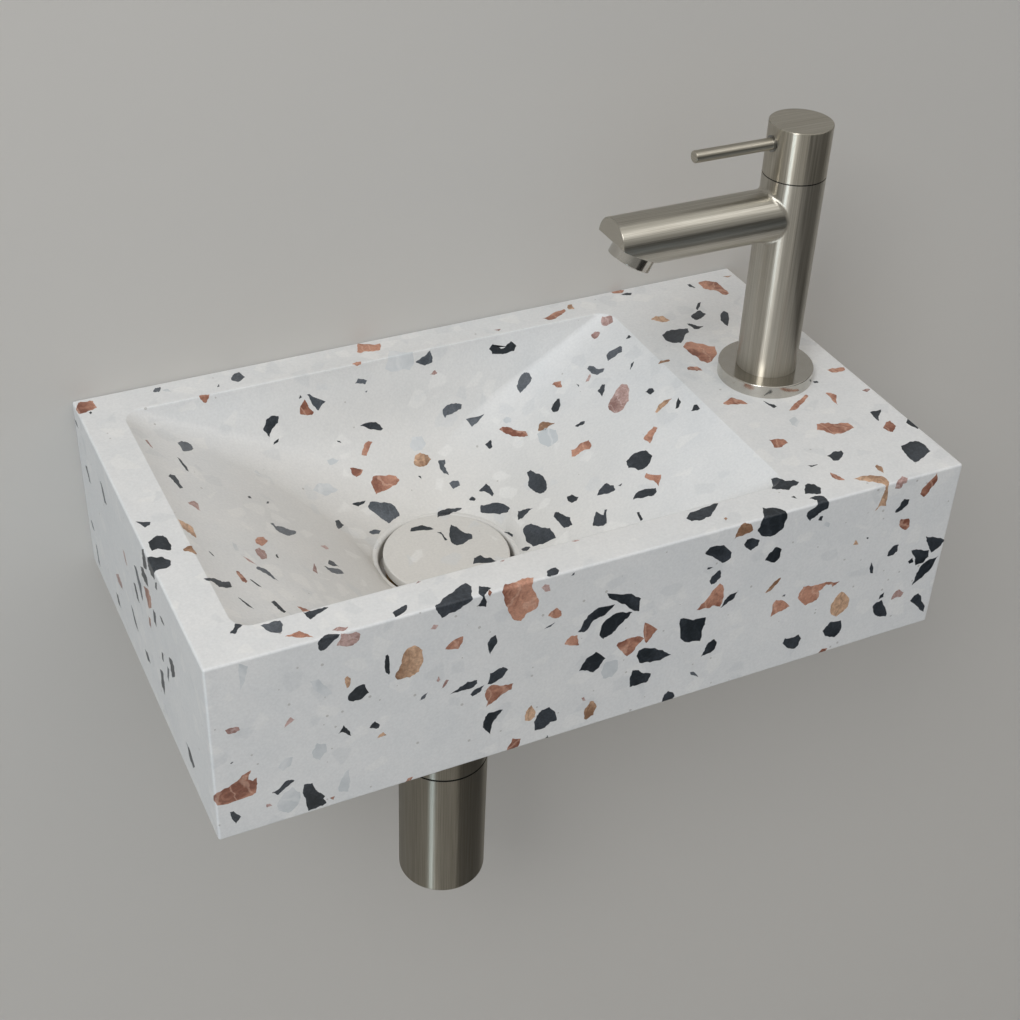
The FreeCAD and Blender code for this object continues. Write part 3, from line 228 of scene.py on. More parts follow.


# The coloured stones: crushed basalt, slate, red and pink marble, ochre marble and quartz, cast into the
# block and ground flush with it. Those on the seen faces lie where the picture shows their outlines,
# read as picture pixels, and those on the other faces are strewn with similar sizes.
STONE_PROUD = 0.00004
STONE_DEPTH = 0.0006
STONE_MERGE = 0.00006
SEEN_SLACK = 0.0015
SLIVER_SHARE = 1e-5
STREWN_COUNT = 420
STREWN_TRIES = 9000
STREWN_SMALL, STREWN_LARGE = 0.0016, 0.0095
STREWN_GAP = 1.25
STREWN_SEED = 11
STREWN_EXPONENT = 1.05
STREWN_CORNERS = (5, 9)
STREWN_UNEVEN, STREWN_INWARD, STREWN_SLIM = 0.35, 0.55, 0.45
# half the ray that looks for the face under a corner, the height that rays fall from, how far a triangle's
# plane and its middle may lie from the stone, and the least cosine between their normals
FACE_PROBE, FACE_START, FACE_STEP, FACE_REACH, FACE_TURN = 0.002, 0.01, 0.01, 0.2, 0.6
UPRIGHT = 0.8
DOUBLES, NO_LENGTH = 1e-6, 1e-12
STONE_CREASE = 35

BASALT_OUTLINES = """
217,387 219,384 219.5,386.5; 263,429 266,420 271,416 278.5,416 278,423 274,427 269.5,437 264,431; 273.5,445
274,442 279,438.5 278,442; 299,399 300,395 302,397; 177,457 180,459 186,466 189,471.5 186,470 181,463;
168.5,476.5 170,474 175,475.5 179,481 183,488 180,488.5 174,482; 489,349 493,344 497,346 501,349 505,347.5
511,341 514,343.5 516.5,346 514,351 506,353.5 499,354 492,354 492,351.5; 360,426 366,423 376,422 383,428.5
381,430.5 371,429.5; 485,444.5 491,440 492.5,447 490,449; 336.5,440.5 340,441 341.5,443 338,442; 626,339
629,335 631.5,337 628,338.5; 597.5,391 600,388.5 602,384.5 605,384.5 604,392 602,396.5 600,393; 576,384
579,385 579,387; 551,409 554,403 557,399 559.5,398.5 560.5,405 558,411 553,412; 575,426 580,422.5 585,421
584,424 578,427; 675.5,409 677,401 678.5,397.5 681,402 679,407; 691,411 694,405 697,404.5 700,408.5
697,410.5; 645,392 649,388.5 653,388.5 654.5,391 651,394.5; 630,370 631,364 634,361.5 632,367; 662,335
667,331 675,330 684,329 688,328.5 689,332 685,335 681,343 675,343 667,341; 687,323.5 692,324 697,326
703.5,326 699,329 694,329; 691,316 694,313.5 697,311 700,310.5 703,313 706,314 701,318.5 697,320 692,318;
696,309 698,303 701,302 700,306 698,310; 720.5,320 721,313.5 724,311 728,313 729,320 728,326 724,323.5;
687,284.5 690,284 695.5,288 690,287; 621,294.5 626,293 632,293 631,295 625,295; 763,401 768,403 774,404.5
777,406.5 774,408 769,405.5; 813,381.5 817,381 818.5,382.5 814,383; 870,412 874,411 881,409.5 881,412
878.5,416 879,421 875,418; 906,422.5 908,418.5 912,421 919,427 918,429 911,426; 827,456 831,454 834,451.5
841,450.5 843.5,453 842,457 838,460.5 833,460.5 830,457; 901,446 906,444 911,441.5 919,441.5 926,446
930.5,451 925,456 919,461 914,462 907,456 902,449.5; 807.5,465 812,465.5 818,464.5 811,467; 771,479
777,477.5 782,479 785,481 793,480 799,482 797,485 791,487 789,490 781,489 772,489 773,485; 805,485 808,483.5
815,484.5 821,488 821,493.5 812,494 805,494; 809.5,498.5 815,496 824,496.5 829,502 828,508 822,511 816,516
810,521 806.5,516 808,512 814,508 818,504 817,500; 818,520 820,516.5 823,516 822,520.5; 791,497 794,496
797.5,499; 762.5,507.5 776,508 785,511 787.5,515 784,527 779,531.5 770,536.7 762,536 757.5,531 761,523
764,517; 135.5,521.5 150.5,522 150,524.5 145,527.5; 148,542 153,538 157,535.5 163,535.5 168,540 171.5,546
171,550 164,549.5 158,548.5 152,551; 147.5,557 151,556.5 158,557.5 163,557 171,561 171,565 165,568.5
156,570.5 154,574 154,580 150.5,573 148,566; 203.5,579 208,578 215,578.5 222,582 229,581.5 232,587 226,588
219,587 213,582 207,580.5; 208.5,551 211,552.5 214.5,556.5 212,555; 249.5,579 252,580 262,587.5 258,586;
238,597.5 241,599 248,604 254.5,609 247,605.5; 271,602 274,600.5 279,605 286,611.5 284,613 278,609; 335,521
339,520 344,525 341,528 338.5,529 336,525; 328,563 329,560 334,562 339,566.5 333,566 329,564.5; 230,632
233,630 235,623.5 238,624 242.5,625 238,629 235,634 230,633.5; 303,612.5 312,611 320,608.5 328.5,607 320,613
313,617.5 310.5,619.5 306,616; 247.5,496 250,496 252,498.5 249,498; 266.5,503.5 267,501.5 269,501.5
268.5,503.5; 275.5,555 277,554 279,558 277,557.5; 479,491 483,487 486,483.5 489.5,486 494,494 492,496.5
485,491.5; 469,499 472,496.5 476,499 474,501 470,500.5; 418,476 420.5,476 422,479.5; 527,472 530.5,470
535,473 541,475 546,481 547,488 544,492.5 539,493.5 533,490.5 528,485.5 529,479; 352,504 358,502 365.5,500.5
364,503.5 358.5,506.5; 437.5,517.5 438,512 447,508.5 455,508.5 462,508 456,512 447,515; 480.5,512 481,505
492,503 504,504 510,508 508,512 500,514.5 488,513.5; 410.5,531.5 411,528 420,525.5 428,527 434,529 424,530;
518,520 518,511 525,509.5 533,508 528,512.5 522,518.5; 449.5,530 451,524.5 456,526.5 460,530 465,533
472,534.5 472.5,538.5 465,542.5 457,545.5 452,543 450,538; 437,532 441,532 444,536 447.5,540 445,540.5
442,535; 523,529 527,525 531,523.5 540,527 550,528 556,538 546,542.5 533,546.5 526,541 524,534; 521,549
525,547 530.5,547 527,551 523,551; 473,564 474,558 480,555 485,558 490,557.5 496.5,561 485,563; 504,532
509,532 513,534.5 512.5,537 508,534; 626.3,461.5 631,456 639,451.7 646,450.3 652.5,456 650,462.5 644,468.5
638.3,470.3 635.5,468.3 628.5,468; 597,495.5 600,489 607,483 610,485.3 613.7,485.3 615.3,490 606.7,494;
618,486 620,484.5 622,483.3 621,486; 567,496.7 571.7,494.5 578.7,497 576,501 571.7,503 568,501; 633,499.7
636,493.3 648.5,488.7 656,488 656.7,491.7 654,495.3 643,498; 553.7,516.7 555,512.3 558.5,512 562.5,514.2
570.3,517.5 572.5,525 564.2,528 560,523.5; 592.8,525.8 594.2,516.7 596.2,511.7 600,514 603.8,515 604.5,509.7
607.2,509.2 606.7,523.3 603.3,525.8; 636.7,512.5 639.5,512 643,519 640.5,521 638,516; 686.2,518.3 690,512.5
701.7,508.3 718.3,503.3 713.3,511.7 711,516 702,520 691.7,521.3; 392.5,613 398,609 405,605 407,605 407,609
400,615 395,617; 435,606 441,601.5 452,593 460,586 465,583 471.5,586.5 471.5,596 473,599 463,606 452,612.5
442,618 438,613; 478.5,593 479,586 484,586.5 491,588 487,592 484.5,595 487,602 486,607 478,606 481,601
483,597; 547,571 555.8,567.5 559,570 557.5,574.3 550,576.7 547,576; 571.3,575.8 573,573.5 575,572.5 574,575;
705.3,553.7 710,547.5 724,545 731.7,552.5 731,557.5 722,563 717,559.3 711,556; 707,569.5 708,567.5 713.7,567
710,569; 709.5,581 714,575 720.3,570 721,576.7 716.5,582 711.5,584.5; 720.5,608 726.5,598.5 731.5,594
738.3,590.8 733,599.3 728,602; 607,593.3 620.8,594.5 631.7,593.7 641,598.3 639.3,611 634,610.8 625,604
613.5,600 609,598; 317.8,643.5 321,638.3 325,635.3 340,634.3 338.5,637 331,643.5 325,649.3 320.8,651
318.3,648.3; 384.7,666.5 385.5,656 387.5,654.5 389,656 390,672.5 389,674.5 385.8,672.5; 348,696.5 350.5,693
361.7,684.7 365,684.2 369,692.5 362.5,698.3 353.3,701.5 348.3,700; 338.5,733.8 341,730 343.5,725.3 347,728.3
350,731.7 351,735.8 347.5,734.5 343,732; 369.5,727.8 372,724 375,721.2 380,725 379,727.5 375.8,728.7;
272,792.5 280,788 285,781.7 288,780 294.5,780.5 290,784.3 282,791 277.8,795; 303,790 304.2,784.5 312.5,783
315,788.3 319.2,792.5 325,796 323.3,798.3 326.5,803 318,807 308.5,811 306,800 303.3,794.5; 230,812 233.5,811
241,816.5 236,823.5 232,819; 230,764 232,762 233.5,761.7 232,763.5; 89,412.5 91,411.5 92,413 90.5,414;
487.5,644.3 490,639 495.8,635 497,643.3 493.5,648.3 490.2,654.5 488.3,649.2; 578,632 581.7,626.7 588,615.5
594,610.8 615,604.3 605,615 594,620 588.5,628.3 585,631.7; 599.5,635.5 601,628.3 606.7,619.2 620,612.3
632.5,612 625,619.3 616.7,628.5 610,635 603,639; 579,671 583.3,663.3 587,658 596,651.8 605.5,658.3 599,667.5
593.3,672.3 586.7,670.3; 487.5,684.3 490,673.3 496.7,670 503,667 508,669.7 504.5,674.5 492,683.7; 450,694.3
460,686.7 467.5,681.7 477,680 477.3,683.3 473,687.3 465,690; 470.5,694.2 473.3,690.8 478.3,687.8 484.3,685
480,692 472.5,696.3; 482.8,727.5 485.3,716.7 490,712.5 503,709.5 497.5,715.8 491.7,725 490.2,734.5
486.7,731; 534,722 536.7,715.8 541.7,710 549.2,707 555,711.7 556.7,720 550,722 545,727.5 534.7,730.5;
544,739.5 547.5,735 548.5,738.5; 744.2,544.5 747,539.5 752.5,538 759.7,540 757.5,546 751,550.5 746.7,548;
765,560.5 770,552.5 776,547 781.7,549.3 780,556.7 775,562.3 771,562.3; 680.3,619 693,620.3 705.8,617.3
705,624.3 701.7,633.3 700,641 685,642 680.3,638.3; 636.5,656 639.2,650.3 646.7,648 662.5,650 671,654.2
660,660.3 650,662.5 639.5,663; 700.8,656.8 705,648.3 708.5,642.5 714.3,639 716.7,641.7 715,648.3
708.3,653.3; 629.5,687 629.5,679 632.5,670.5 638.5,670 643.5,673.3 650.8,673.5 646,682.5 636,685.5;
782.5,643 785,638.3 791.7,637.5 798.5,634.5 801,638.5 797.5,646 794,648.7 786,647; 661.5,702.5 664,695
668,691 673.5,693 674.5,696 672,699.5 666,701.5; 782.8,596 784,594.5 785.5,594.5 784.5,596.5; 822.5,631
826,626.5 831,621.7 841,620.3 840.5,630 837,635 834,637.3 825,636; 861.5,640.5 870,636.8 873.5,637
868,639.8; 878.5,599.3 880.5,595 884.7,591.5 883.3,597; 872.5,607 876,602.5 881.7,600 883.5,605 886.7,613.3
886,616.3 880,616.7 875,615; 910,601 913.3,596.7 918.3,593.3 921,596 921.3,601 924.7,606 923.3,611.7
919,609.2 915.5,605; 887,556 890,550 893.5,546 899,544.7 897,551.7 893,555; 869.5,568.5 871,562.3
873.3,568.5 873,573 870.3,573; 911.5,550.5 918.3,549.7 929.2,550 928.3,556.7 923.3,562.5 915.3,565.3
915.3,558; 926,536.2 935,537.2 946,540 939,547 931,552.5 929,546.7 926.5,541.5; 911.5,585.5 916,575
919.3,568.3 927,560.8 938.7,555.8 933.3,564.5 922,577.5; 939,565.5 940.5,557 943.5,549 942.3,557.5;
908,561.5 912.5,558 913.3,562 909.5,563.7; 895,512.5 901,503 904,499 909.5,499.5 908,504 902,510;
866.5,538.5 867,537 868.5,537.5 868,539; 141.7,549.3 143.7,549.3 145.5,558 146.5,569.5 144,568 142.3,558;
140.3,566.5 142.7,567.5 146,575 148.2,587 144.5,581.5 141.5,574; 133.5,582.5 135.3,584 139.8,603.5 137,598;
155,582.5 156.8,582.5 157,590.5 155.3,588; 153,609 155.3,613 156.5,627 154.3,622; 159.7,615.5 162,618.5
164.3,626 161.5,621.5; 131,604.5 133,609.5 138.5,632 135.5,624; 116,592 118.3,596 121,608 118.3,602;
144.8,649 147.5,652.5 150.5,663.5 147.5,659; 161.7,652 163,653.5 164,662 162.6,660; 168.8,657 171.5,659.5
174.3,668.5 174.8,677 172.5,677.5 170.7,668; 160,669 162.7,671.5 164.5,682 165,695 162.3,687; 186.3,742
189,747.5 195,767 193.3,768 190,759; 85.5,465.5 87,466.5 91,484 89.5,481.5; 100,481 101.5,484 106.8,505
104.5,502"""
SLATE_OUTLINES = """
231,378 235,373.3 239.2,372.2 245,377 238.3,382 231.3,380; 307,394.5 309.5,394 325.5,401.5 321,406 318,410.5
312,404; 177.5,443 181,441 186,442 192,446 193.5,449 189,451 183,451 180,446; 153,391.5 155,388 160,387
161,388 159,392; 355,383.5 358,378.5 364,379 367,380.5 365,384.5; 415.5,362 422,357 430,350.5 432.5,357
432,362.5 425,365.5 419,363.5; 516.5,386 520,377 524,372.5 529,373 532,378 529,384 524,389 520.5,393
518,390; 443,409 447,405 456,403 462,404.5 461,409 452,414 447,415 445,418 443,414; 466,419 484,414 480,419
472,427 469,423; 438,461 445,459.5 445.5,463 444,466 449,475 444,473.5 440,468.5; 449,483 452,481 458,480.5
460,485.5 453.5,489; 606.5,355 620,346 622,347 622,352 608,361; 587,369 589,366 593,366 596,368.5 600,369
604.5,368.5 603,372 597,375 591,373 588.5,370; 256,568 257.5,566.5 265,569 271,574 278.5,581 273,578.5
263,572.5; 270.5,523 273,523 276,526.5 283,527 289,529.5 296,531.5 296,533.5 287,535.5 280,532.5 275,528;
324,566 330,568 340,569.5 344,573.5 337,574 331,572; 260.5,625.5 265,624 273,621.5 280,620.5 283,625
281.5,632 276,633 266,630; 368,507 370,502 378,502 386,502.5 393,505 397,509.5 399.5,516 394,519 389,523.5
384,520 376,514; 369,532 375,529.5 381,530.5 379,534 373,534.5; 544,629 549,625.5 555,622.3 551,626.5;
419.7,700.5 422.5,696 428,692 424.5,698.5; 365,392 366,391 367.5,390.5 366.5,392.5; 690,672 693,671.5
696,674 698.5,677 694,675.5 690.5,674.5; 134,565 136,567 141,584 143,601 139,586; 167.3,666 169.2,669.5
169,682 167.5,677; 95.8,543 97,547 100.3,567 98.5,561; 91,520 92.5,523 94.5,531 93,528; 74.5,419 76,421
78.5,428.5 76.5,425"""
RED_OUTLINES = """
199,396 202,395 209.5,394.5 209,398 206,403 203,402; 300,414 300.5,406 304.5,399.5 307.5,404 308.5,407
314,412 312,415 306,415; 357,346 358,343.5 380,343.5 381,346 380,350 373,351.5 364,351.5 360,353 357,352;
352,364 356,362 361,361.5 361,364.5 357,366; 542,318.5 549,316 558,311 564,309 566,311 562,314.5 556,318.5
550,320; 552,384.5 555,382 561,381 562,387 557,387.5; 643.5,439 648,432 653.5,426.5 657.5,428 654,434.5
650,443.5; 683,347 686,342.5 691,341.5 715,346.5 717,354 712,361 707,363 700,360.5 690,353; 687,368
690,366.5 698,367 702.5,370.5 697,371 688,370; 698,283 702,281.5 715,282 720,285 729,293.5 726,295 713,290
703,288; 609,292 615,289.5 624,290 623,292.5 614,293.5; 723,403.5 728,400 731.5,397.5 738,399.5 745,402
748,404 738,404.5 730,404.5; 789,410.5 794,404 800,400 806,394.5 808.5,396 803,403 797,409; 825.5,393
831,393 836.5,395 836,400 838,405 834,402 830,397; 827,370 832,368 844,367.5 845,370 837,372.5 831,372;
883,428 886,422 890,420.5 896,426 893,432 888,431; 816.5,424 822,423 834,424 848,423 854,428 847,431
834,434.5 824,430.5 817,430; 769.5,440 776,439 783,439 788,443 782,447 774,447.5; 830,472.5 838,476 845,480
838,480 832,477; 499,429 502,427 508,427 519,431 526,431.5 528,436 520,437 510,435 503,432; 350,468
353,467.5 363,470 361,474.5 356.5,477 352,474; 236,571 238,571 243,576 247.5,581 246,583 242,581; 255,540
257,537.5 263,536.8 268,541 262,546 256,543; 285,636.5 294,633 300,631 306,633.5 313.5,637.5 304,637.5
294,637; 297,606 301,607 310,610.5 306,611.5 303,612; 571,450 575,449 582.5,442.5 588.5,440 591.5,446
590,449 582.5,451 575,456.5 571.5,456.5; 644.5,477 646.5,473 652,474.7 661,474.7 658.7,486.3 654,480.8
648.5,479.5; 502,592 505,584 515,582.5 522,578.5 533.5,577.5 532,585 534,591 538.5,599 538,606 527,613
521,621 514,620 509,613 505,603; 696.7,610 706.5,599.5 720,583.3 723,585.5 722.5,600 720,606.5 713.3,605.3
708,608.3; 213.5,796 228.5,787.5 240,778.5 251,770.3 248.3,779.5 253,781 257,777.5 257.5,783.5 256,792.5
238.5,800 217.5,805.5 214,801; 329.5,798 334.7,795.8 333.3,800; 405.5,781.7 408.3,778 413.3,776.8 411,780;
445.3,649.2 450,643.3 461,636.7 463.3,636.2 462.8,641.7 458.3,649; 485,696 487.5,688.3 491,685.3 503.3,685.5
513.3,683.3 511.5,689.3 500,696 491.7,703.3 486,707 487.5,701; 506.5,751 510,744 512.7,738.3 520.8,738.7
518,746.5; 616.5,646 618.5,642.5 630,638 640,636.3 644.3,638.3 637.5,645 631,653.3 627,656.3 620,650;
643.7,634.5 645,622.5 657.5,629.2 651.7,636.7 646,643; 797.8,598 799.2,593.3 803.3,586.7 813.3,585.8
822,583.5 828,582 839.7,581.5 835,585 832.3,587 831.5,584.5 826,584.5 821.7,589.3 818.5,591 819,595
816.5,600 810,602.8 805.5,605.3 802,603; 816.7,654.7 821.5,649.3 827.3,648.2 825,652.5; 920,494 924,487
931,480 937,473 937,481 930,489 924,497; 770.5,617 772.5,605 776,600 782.5,600.3 789.5,606.3 781.7,611;
564.5,644.3 567.5,639 571.7,635.8 577.5,635.3 579.2,645 570,645.5; 548,616 551,611.5 556.7,607.8 561.3,611
561.3,616 556,618.3; 899,525 901,519 909,518.5 909.5,526 905,530 900,527; 489,590 492,592 490,597 488,594;
143.5,586 147.5,588.5 151,600 151.5,608 149,608.5 146.5,598; 148.8,616 150.5,619 151,628 149.5,624; 76,409
78,403 90,400.5 93,401 97,407.5 88,411 79,414; 361.5,455 364,445 368,441 372.5,442 369,449 366.5,456;
371,482 373,476.5 382,475.5 396,476 399.5,480 396,485 384,491 376,494.5 373,488"""
PINK_OUTLINES = """
145,440 147,440 153,448 150,446; 430,374.5 435,370 437.5,373 435,374.5; 601,321 602,316.5 612,316 613,322
606,326 602,325; 591,335 595,331.5 600,332.5 597,338 594,339 592,337.5; 585.5,382 590,374 591,376 589,381;
608,406 612,398 618,388 622,384 627,384.5 629.5,390 629,401 624,408 616,413 609.5,410; 862,390 868,388.5
870,389.5 867,392; 895,488.5 897,482 902,476 908,478 907,482.5 903,484 901,488; 188,502.5 193,501 198,503.5
200.5,511 196,508; 255,550 259,547.5 265,551 267,558.5 261,559; 320.5,546 325,545 329,549 326,549.5; 313,571
314,563 316,567 317.5,574; 332,630.5 336.5,627.5 348.3,626.7 345.5,630 343,631.2; 336.5,645.5 340,640
341,633.5 348,634 356.5,631.7 360.5,634.3 359,640 353.3,645 348,646.3 341.5,646; 430.5,629 434,624.5
438.5,625.5 435,629.5; 541.3,588 545,584.3 549.5,585 550.3,591 545,591.7; 284,728 286.7,721.7 291,717
294.5,719.5 291,722.5; 225,730 231,727.7 238.7,727 240,730 235,733 227.5,734; 436.5,681 438.7,676.3
440.3,679.2 438.5,682; 441.5,689 444,683.3 446,680 449,680 445,686; 891,599.8 893.3,594.3 899,589.2
903.7,592.5 901,596.7 896,597.3; 243,556 250,560 257,565 249,561.5; 494,330 501,329 499,331; 581.3,698
584,697 586,700.5 583,701; 571.3,541.3 576,540 580,540 575,541.8; 500,561.5 503,560 505,560 503,561.5;
416,583.5 418,581.5 421,581.5; 266,806 267,804 270,803.5 272.5,805.5 267,807.5; 116,574 118.5,574 121.7,583
123.5,590.5 119.5,584; 122.7,549.5 124.2,552 127.2,566 125.3,561"""
OCHRE_OUTLINES = """
413.5,462 415,456 420,452.5 428,455 431,459.5 427,465 420,467 414.5,465; 567,308 568,305 572,304.5 574.5,309
569,309.5; 538,431 539,425 543,421.5 548,422 555,423 549,426 546,430; 655,412 658,406 664,400.5 672,398
668,403 661,409 657,413; 658,364 661,360.5 669,359.5 670,361 662,363; 651,319.5 656,316 663,316 670,320.5
664,322 657,321; 723,276.5 732,275.5 728,277.5; 875,466 877,464.5 882,467 884,473 879,470.5; 853.5,479
862,476 873,475.5 884,477 889,482 888,492 886,506 880,506 875,511 880,502 884,493 886,486 884,484.5
876,482.5 862,480.5; 734.5,539 737,533 741,525 745,522.5 751,523.7 753.3,530 745,534.2; 177.5,519.5 188,524
193.5,529 196.3,538 187.5,532 182,527; 183,549 187,546.5 192,546 195,551 197,554.5 190,552 184,551;
395,676.5 401.7,663.5 403.3,654.2 407,649 415,645.3 422.5,650 423.5,658.5 422,664 419,671.7 410,677.5
397.5,679.7; 344.5,679 347.5,676 350.8,678.5 349,686.7 347,688.3 345,683; 377.5,738 380,734.3 383.5,732
386.5,735 381.7,736.7; 524.7,720.3 526,711.7 531.3,705 535.5,711.7 535,716.7 529,721; 584,718.5 585,708.5
590,701.5 593.5,701 596.7,706.5 593.3,715 586,719.7; 765,593 769,588 773,583.3 781,577.5 777,584 770,591;
830,611 831,604.5 835,598.3 841.7,591.7 849,598 848.3,604.3 843.3,611.3 836,616.7 831,614.3; 724,518.5
726,517 727.5,518.5 726,520.5; 853,545 856,540 858.5,544"""
QUARTZ_OUTLINES = """
162,390 168,389 172,392 166,391.5; 503,420 506,417 511,418 511,422 506,423.5; 385,369 389,351 413,352
414,360 410,370; 410,447 412,437 422,436 426,443 422,450 414,451; 327,460 333,458 339,460 334,464 330,465;
310,681.5 318.5,679 327,687 332.5,693.3 325,696.5 315,690; 238.7,664 248,666.7 245,678.5 240,690.5;
338.3,788 341.7,779 349.3,769.3 350.3,781.7 348.3,791.5 339,791.5; 254,472 256,470 262,476 258,474; 789,420
795,417 800,421 797,427 792,425; 232,542 236,544 239,551 235,550; 313,490 319,483 330,484 338,490 325,496;
823,525 826,521.5 830,523 829,527; 312,752 317,743 326,744 327,752 320,760 313,757; 278,768 285,758 293,757
291,765 283,771; 277,806 284,793 292,787 300,792 299,803 288,813 279,811; 601,672 606,662 617.5,660 618,668
612,677 603,678.5; 537,434 545,428 556,430 558,440 548,447 540,443"""

# name, outlines, dark tone, light tone, vein, share of vein and of grain, band in mm, share of strewn stones
STONE_KINDS = (
    ("basalt", BASALT_OUTLINES, "#20262b", "#383d43", "#4c5156", 0.15, 0.3, 4.0, 0.46),
    ("slate", SLATE_OUTLINES, "#444a50", "#5a5f65", "#74787c", 0.25, 0.2, 3.0, 0.12),
    ("red_marble", RED_OUTLINES, "#7d4e3d", "#bb8a73", "#d3ad98", 0.45, 0.16, 5.0, 0.18),
    ("pink_marble", PINK_OUTLINES, "#8a6961", "#bb9e97", "#cbb6af", 0.5, 0.16, 3.0, 0.10),
    ("ochre_marble", OCHRE_OUTLINES, "#86644b", "#cca88a", "#8a6f58", 0.5, 0.16, 4.0, 0.08),
    ("quartz", QUARTZ_OUTLINES, "#c0c4c5", "#d0d2d2", "#dadbda", 0.5, 0.02, 8.0, 0.06),
)
EDGE_BREAKS = (0.09, 0.13)
EDGE_SEED = 5
STONE_ROUGHNESS = 0.34
TONE, TONE_RANGE = (25, 1.0), (0.62, 0.88)
CLOUD_DETAIL, CLOUD_DISTORTION, CLOUD_SHARE = 4.0, 1.2, 0.5
VEIN_BANDS, VEIN_RANGE = 6, (0.9, 1.0)
VEIN_WAVE = {"Distortion": 9.0, "Detail": 3.0, "Detail Scale": 2.0}
CRYSTALS = (0.9, 2.0)


def read_outlines(text):
    """The outlines of a text as arrays of picture points: stones part at semicolons, points at spaces."""
    return [np.array([point.split(",") for point in stone.split()], float) for stone in text.split(";")]


def crush_edges(outline, rng):
    """The outline with each side broken twice: its middle moves square to the side by a random share of its
    length, or of the outline's width, four times its area over its girth, where that is less."""
    for share in EDGE_BREAKS:
        run = np.roll(outline, -1, 0) - outline
        lengths = np.linalg.norm(run, axis=1)
        width = 4 * abs(plane_area(outline)) / lengths.sum()
        square = np.stack([-run[:, 1], run[:, 0]], 1) * np.minimum(1, width / lengths)[:, None]
        middles = outline + 0.5 * run + rng.uniform(-share, share, (len(run), 1)) * square
        outline = np.stack([outline, middles], 1).reshape(-1, 2)
    return outline


def to_picture(points):
    """Picture pixels of points in space: offsets along the picture's axes over depth, times focal length."""
    away = points - EYE
    return MIDDLE + FOCAL * np.stack([away @ RIGHT, away @ DOWN], -1) / (away @ FORWARD)[..., None]


def eye_rays(pixels):
    """Starts and directions of the rays that leave the eye through these picture pixels."""
    across = (pixels - MIDDLE) / FOCAL
    rays = FORWARD + across[:, :1] * RIGHT + across[:, 1:] * DOWN
    return np.broadcast_to(EYE, rays.shape), rays


def cut_outline(outline, triangle):
    """The part of a closed plane outline inside a triangle: for each side in turn, the points on its inner
    hand are kept and a point is put in wherever the outline crosses that side."""
    for start, end in zip(triangle, np.roll(triangle, -1, 0)):
        if len(outline) < 3:
            break
        run, away = end - start, outline - start
        hand = run[0] * away[:, 1] - run[1] * away[:, 0]
        after, hand_after = np.roll(outline, -1, 0), np.roll(hand, -1)
        crosses = (hand >= 0) != (hand_after >= 0)
        share = np.where(crosses, hand / np.where(crosses, hand - hand_after, 1), 0)
        crossing = outline + share[:, None] * (after - outline)
        kept = np.stack([hand >= 0, crosses], 1).ravel()
        outline = np.stack([outline, crossing], 1).reshape(-1, 2)[kept]
    return outline


def plane_area(outline):
    """Signed area of a closed plane outline, by the sum of its cross products."""
    after = np.roll(outline, -1, 0)
    return 0.5 * np.sum(outline[:, 0] * after[:, 1] - outline[:, 1] * after[:, 0])


def merged_surface(name):
    """Corners and normals of a solid's triangles with its doubles merged, and its tree for casting rays."""
    solid = bmesh.new()
    solid.from_mesh(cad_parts[name].data)
    bmesh.ops.remove_doubles(solid, verts=solid.verts, dist=DOUBLES)
    solid.normal_update()
    corners = np.array([[v.co for v in face.verts] for face in solid.faces])
    tree = BVHTree.FromBMesh(solid)
    solid.free()
    normals = np.cross(corners[:, 1] - corners[:, 0], corners[:, 2] - corners[:, 0])
    return corners, normals / np.maximum(np.linalg.norm(normals, axis=1), NO_LENGTH)[:, None], tree


def lay_outline(outline, flat, facing, corners, normals, rays):
    """Polygons of a surface inside an outline: every facing triangle that meets it in the plane cuts it, and
    the cut points go back along their rays to that triangle's own plane, then out by the proud height."""
    low, high = outline.min(0), outline.max(0)
    near = facing & np.all(flat.max(1) > low, 1) & np.all(flat.min(1) < high, 1)
    whole, laid = abs(plane_area(outline)), []
    for i in np.flatnonzero(near):
        triangle = flat[i] if plane_area(flat[i]) > 0 else flat[i][::-1]
        piece = cut_outline(outline, triangle)
        if len(piece) > 2 and abs(plane_area(piece)) > SLIVER_SHARE * whole:
            starts, directions = rays(piece)
            run = ((corners[i, 0] - starts) @ normals[i]) / (directions @ normals[i])
            points = starts + run[:, None] * directions + STONE_PROUD * normals[i]
            laid.append((points, normals[i]))
    return laid


surfaces = {name: merged_surface(name) for name in ("basin_body", "waste_cover")}
bodies = {"basin_body": "basin", "waste_cover": "plug"}


def first_hit(target):
    """Distance from the eye to the first stone surface on the way to a point."""
    ray = Vector(target - EYE).normalized()
    hits = [tree.ray_cast(Vector(EYE), ray)[3] for _, _, tree in surfaces.values()]
    return min([hit for hit in hits if hit is not None], default=np.inf)


# The seen stones: each outline is cut out of the triangles that the eye sees through it.
stones = {(kind[0], solid): [] for kind in STONE_KINDS for solid in surfaces}
for solid, (corners, normals, tree) in surfaces.items():
    flat = to_picture(corners)
    facing = np.einsum("ij,ij->i", normals, corners[:, 0] - EYE) < 0
    rng = np.random.default_rng(EDGE_SEED)
    for kind in STONE_KINDS:
        for outline in read_outlines(kind[1]):
            crushed = crush_edges(outline, rng)
            for points, normal in lay_outline(crushed, flat, facing, corners, normals, eye_rays):
                middle = points.mean(0)
                seen = first_hit(middle) > np.linalg.norm(middle - EYE) - SEEN_SLACK
                if seen:
                    stones[kind[0], solid].append((points, normal))

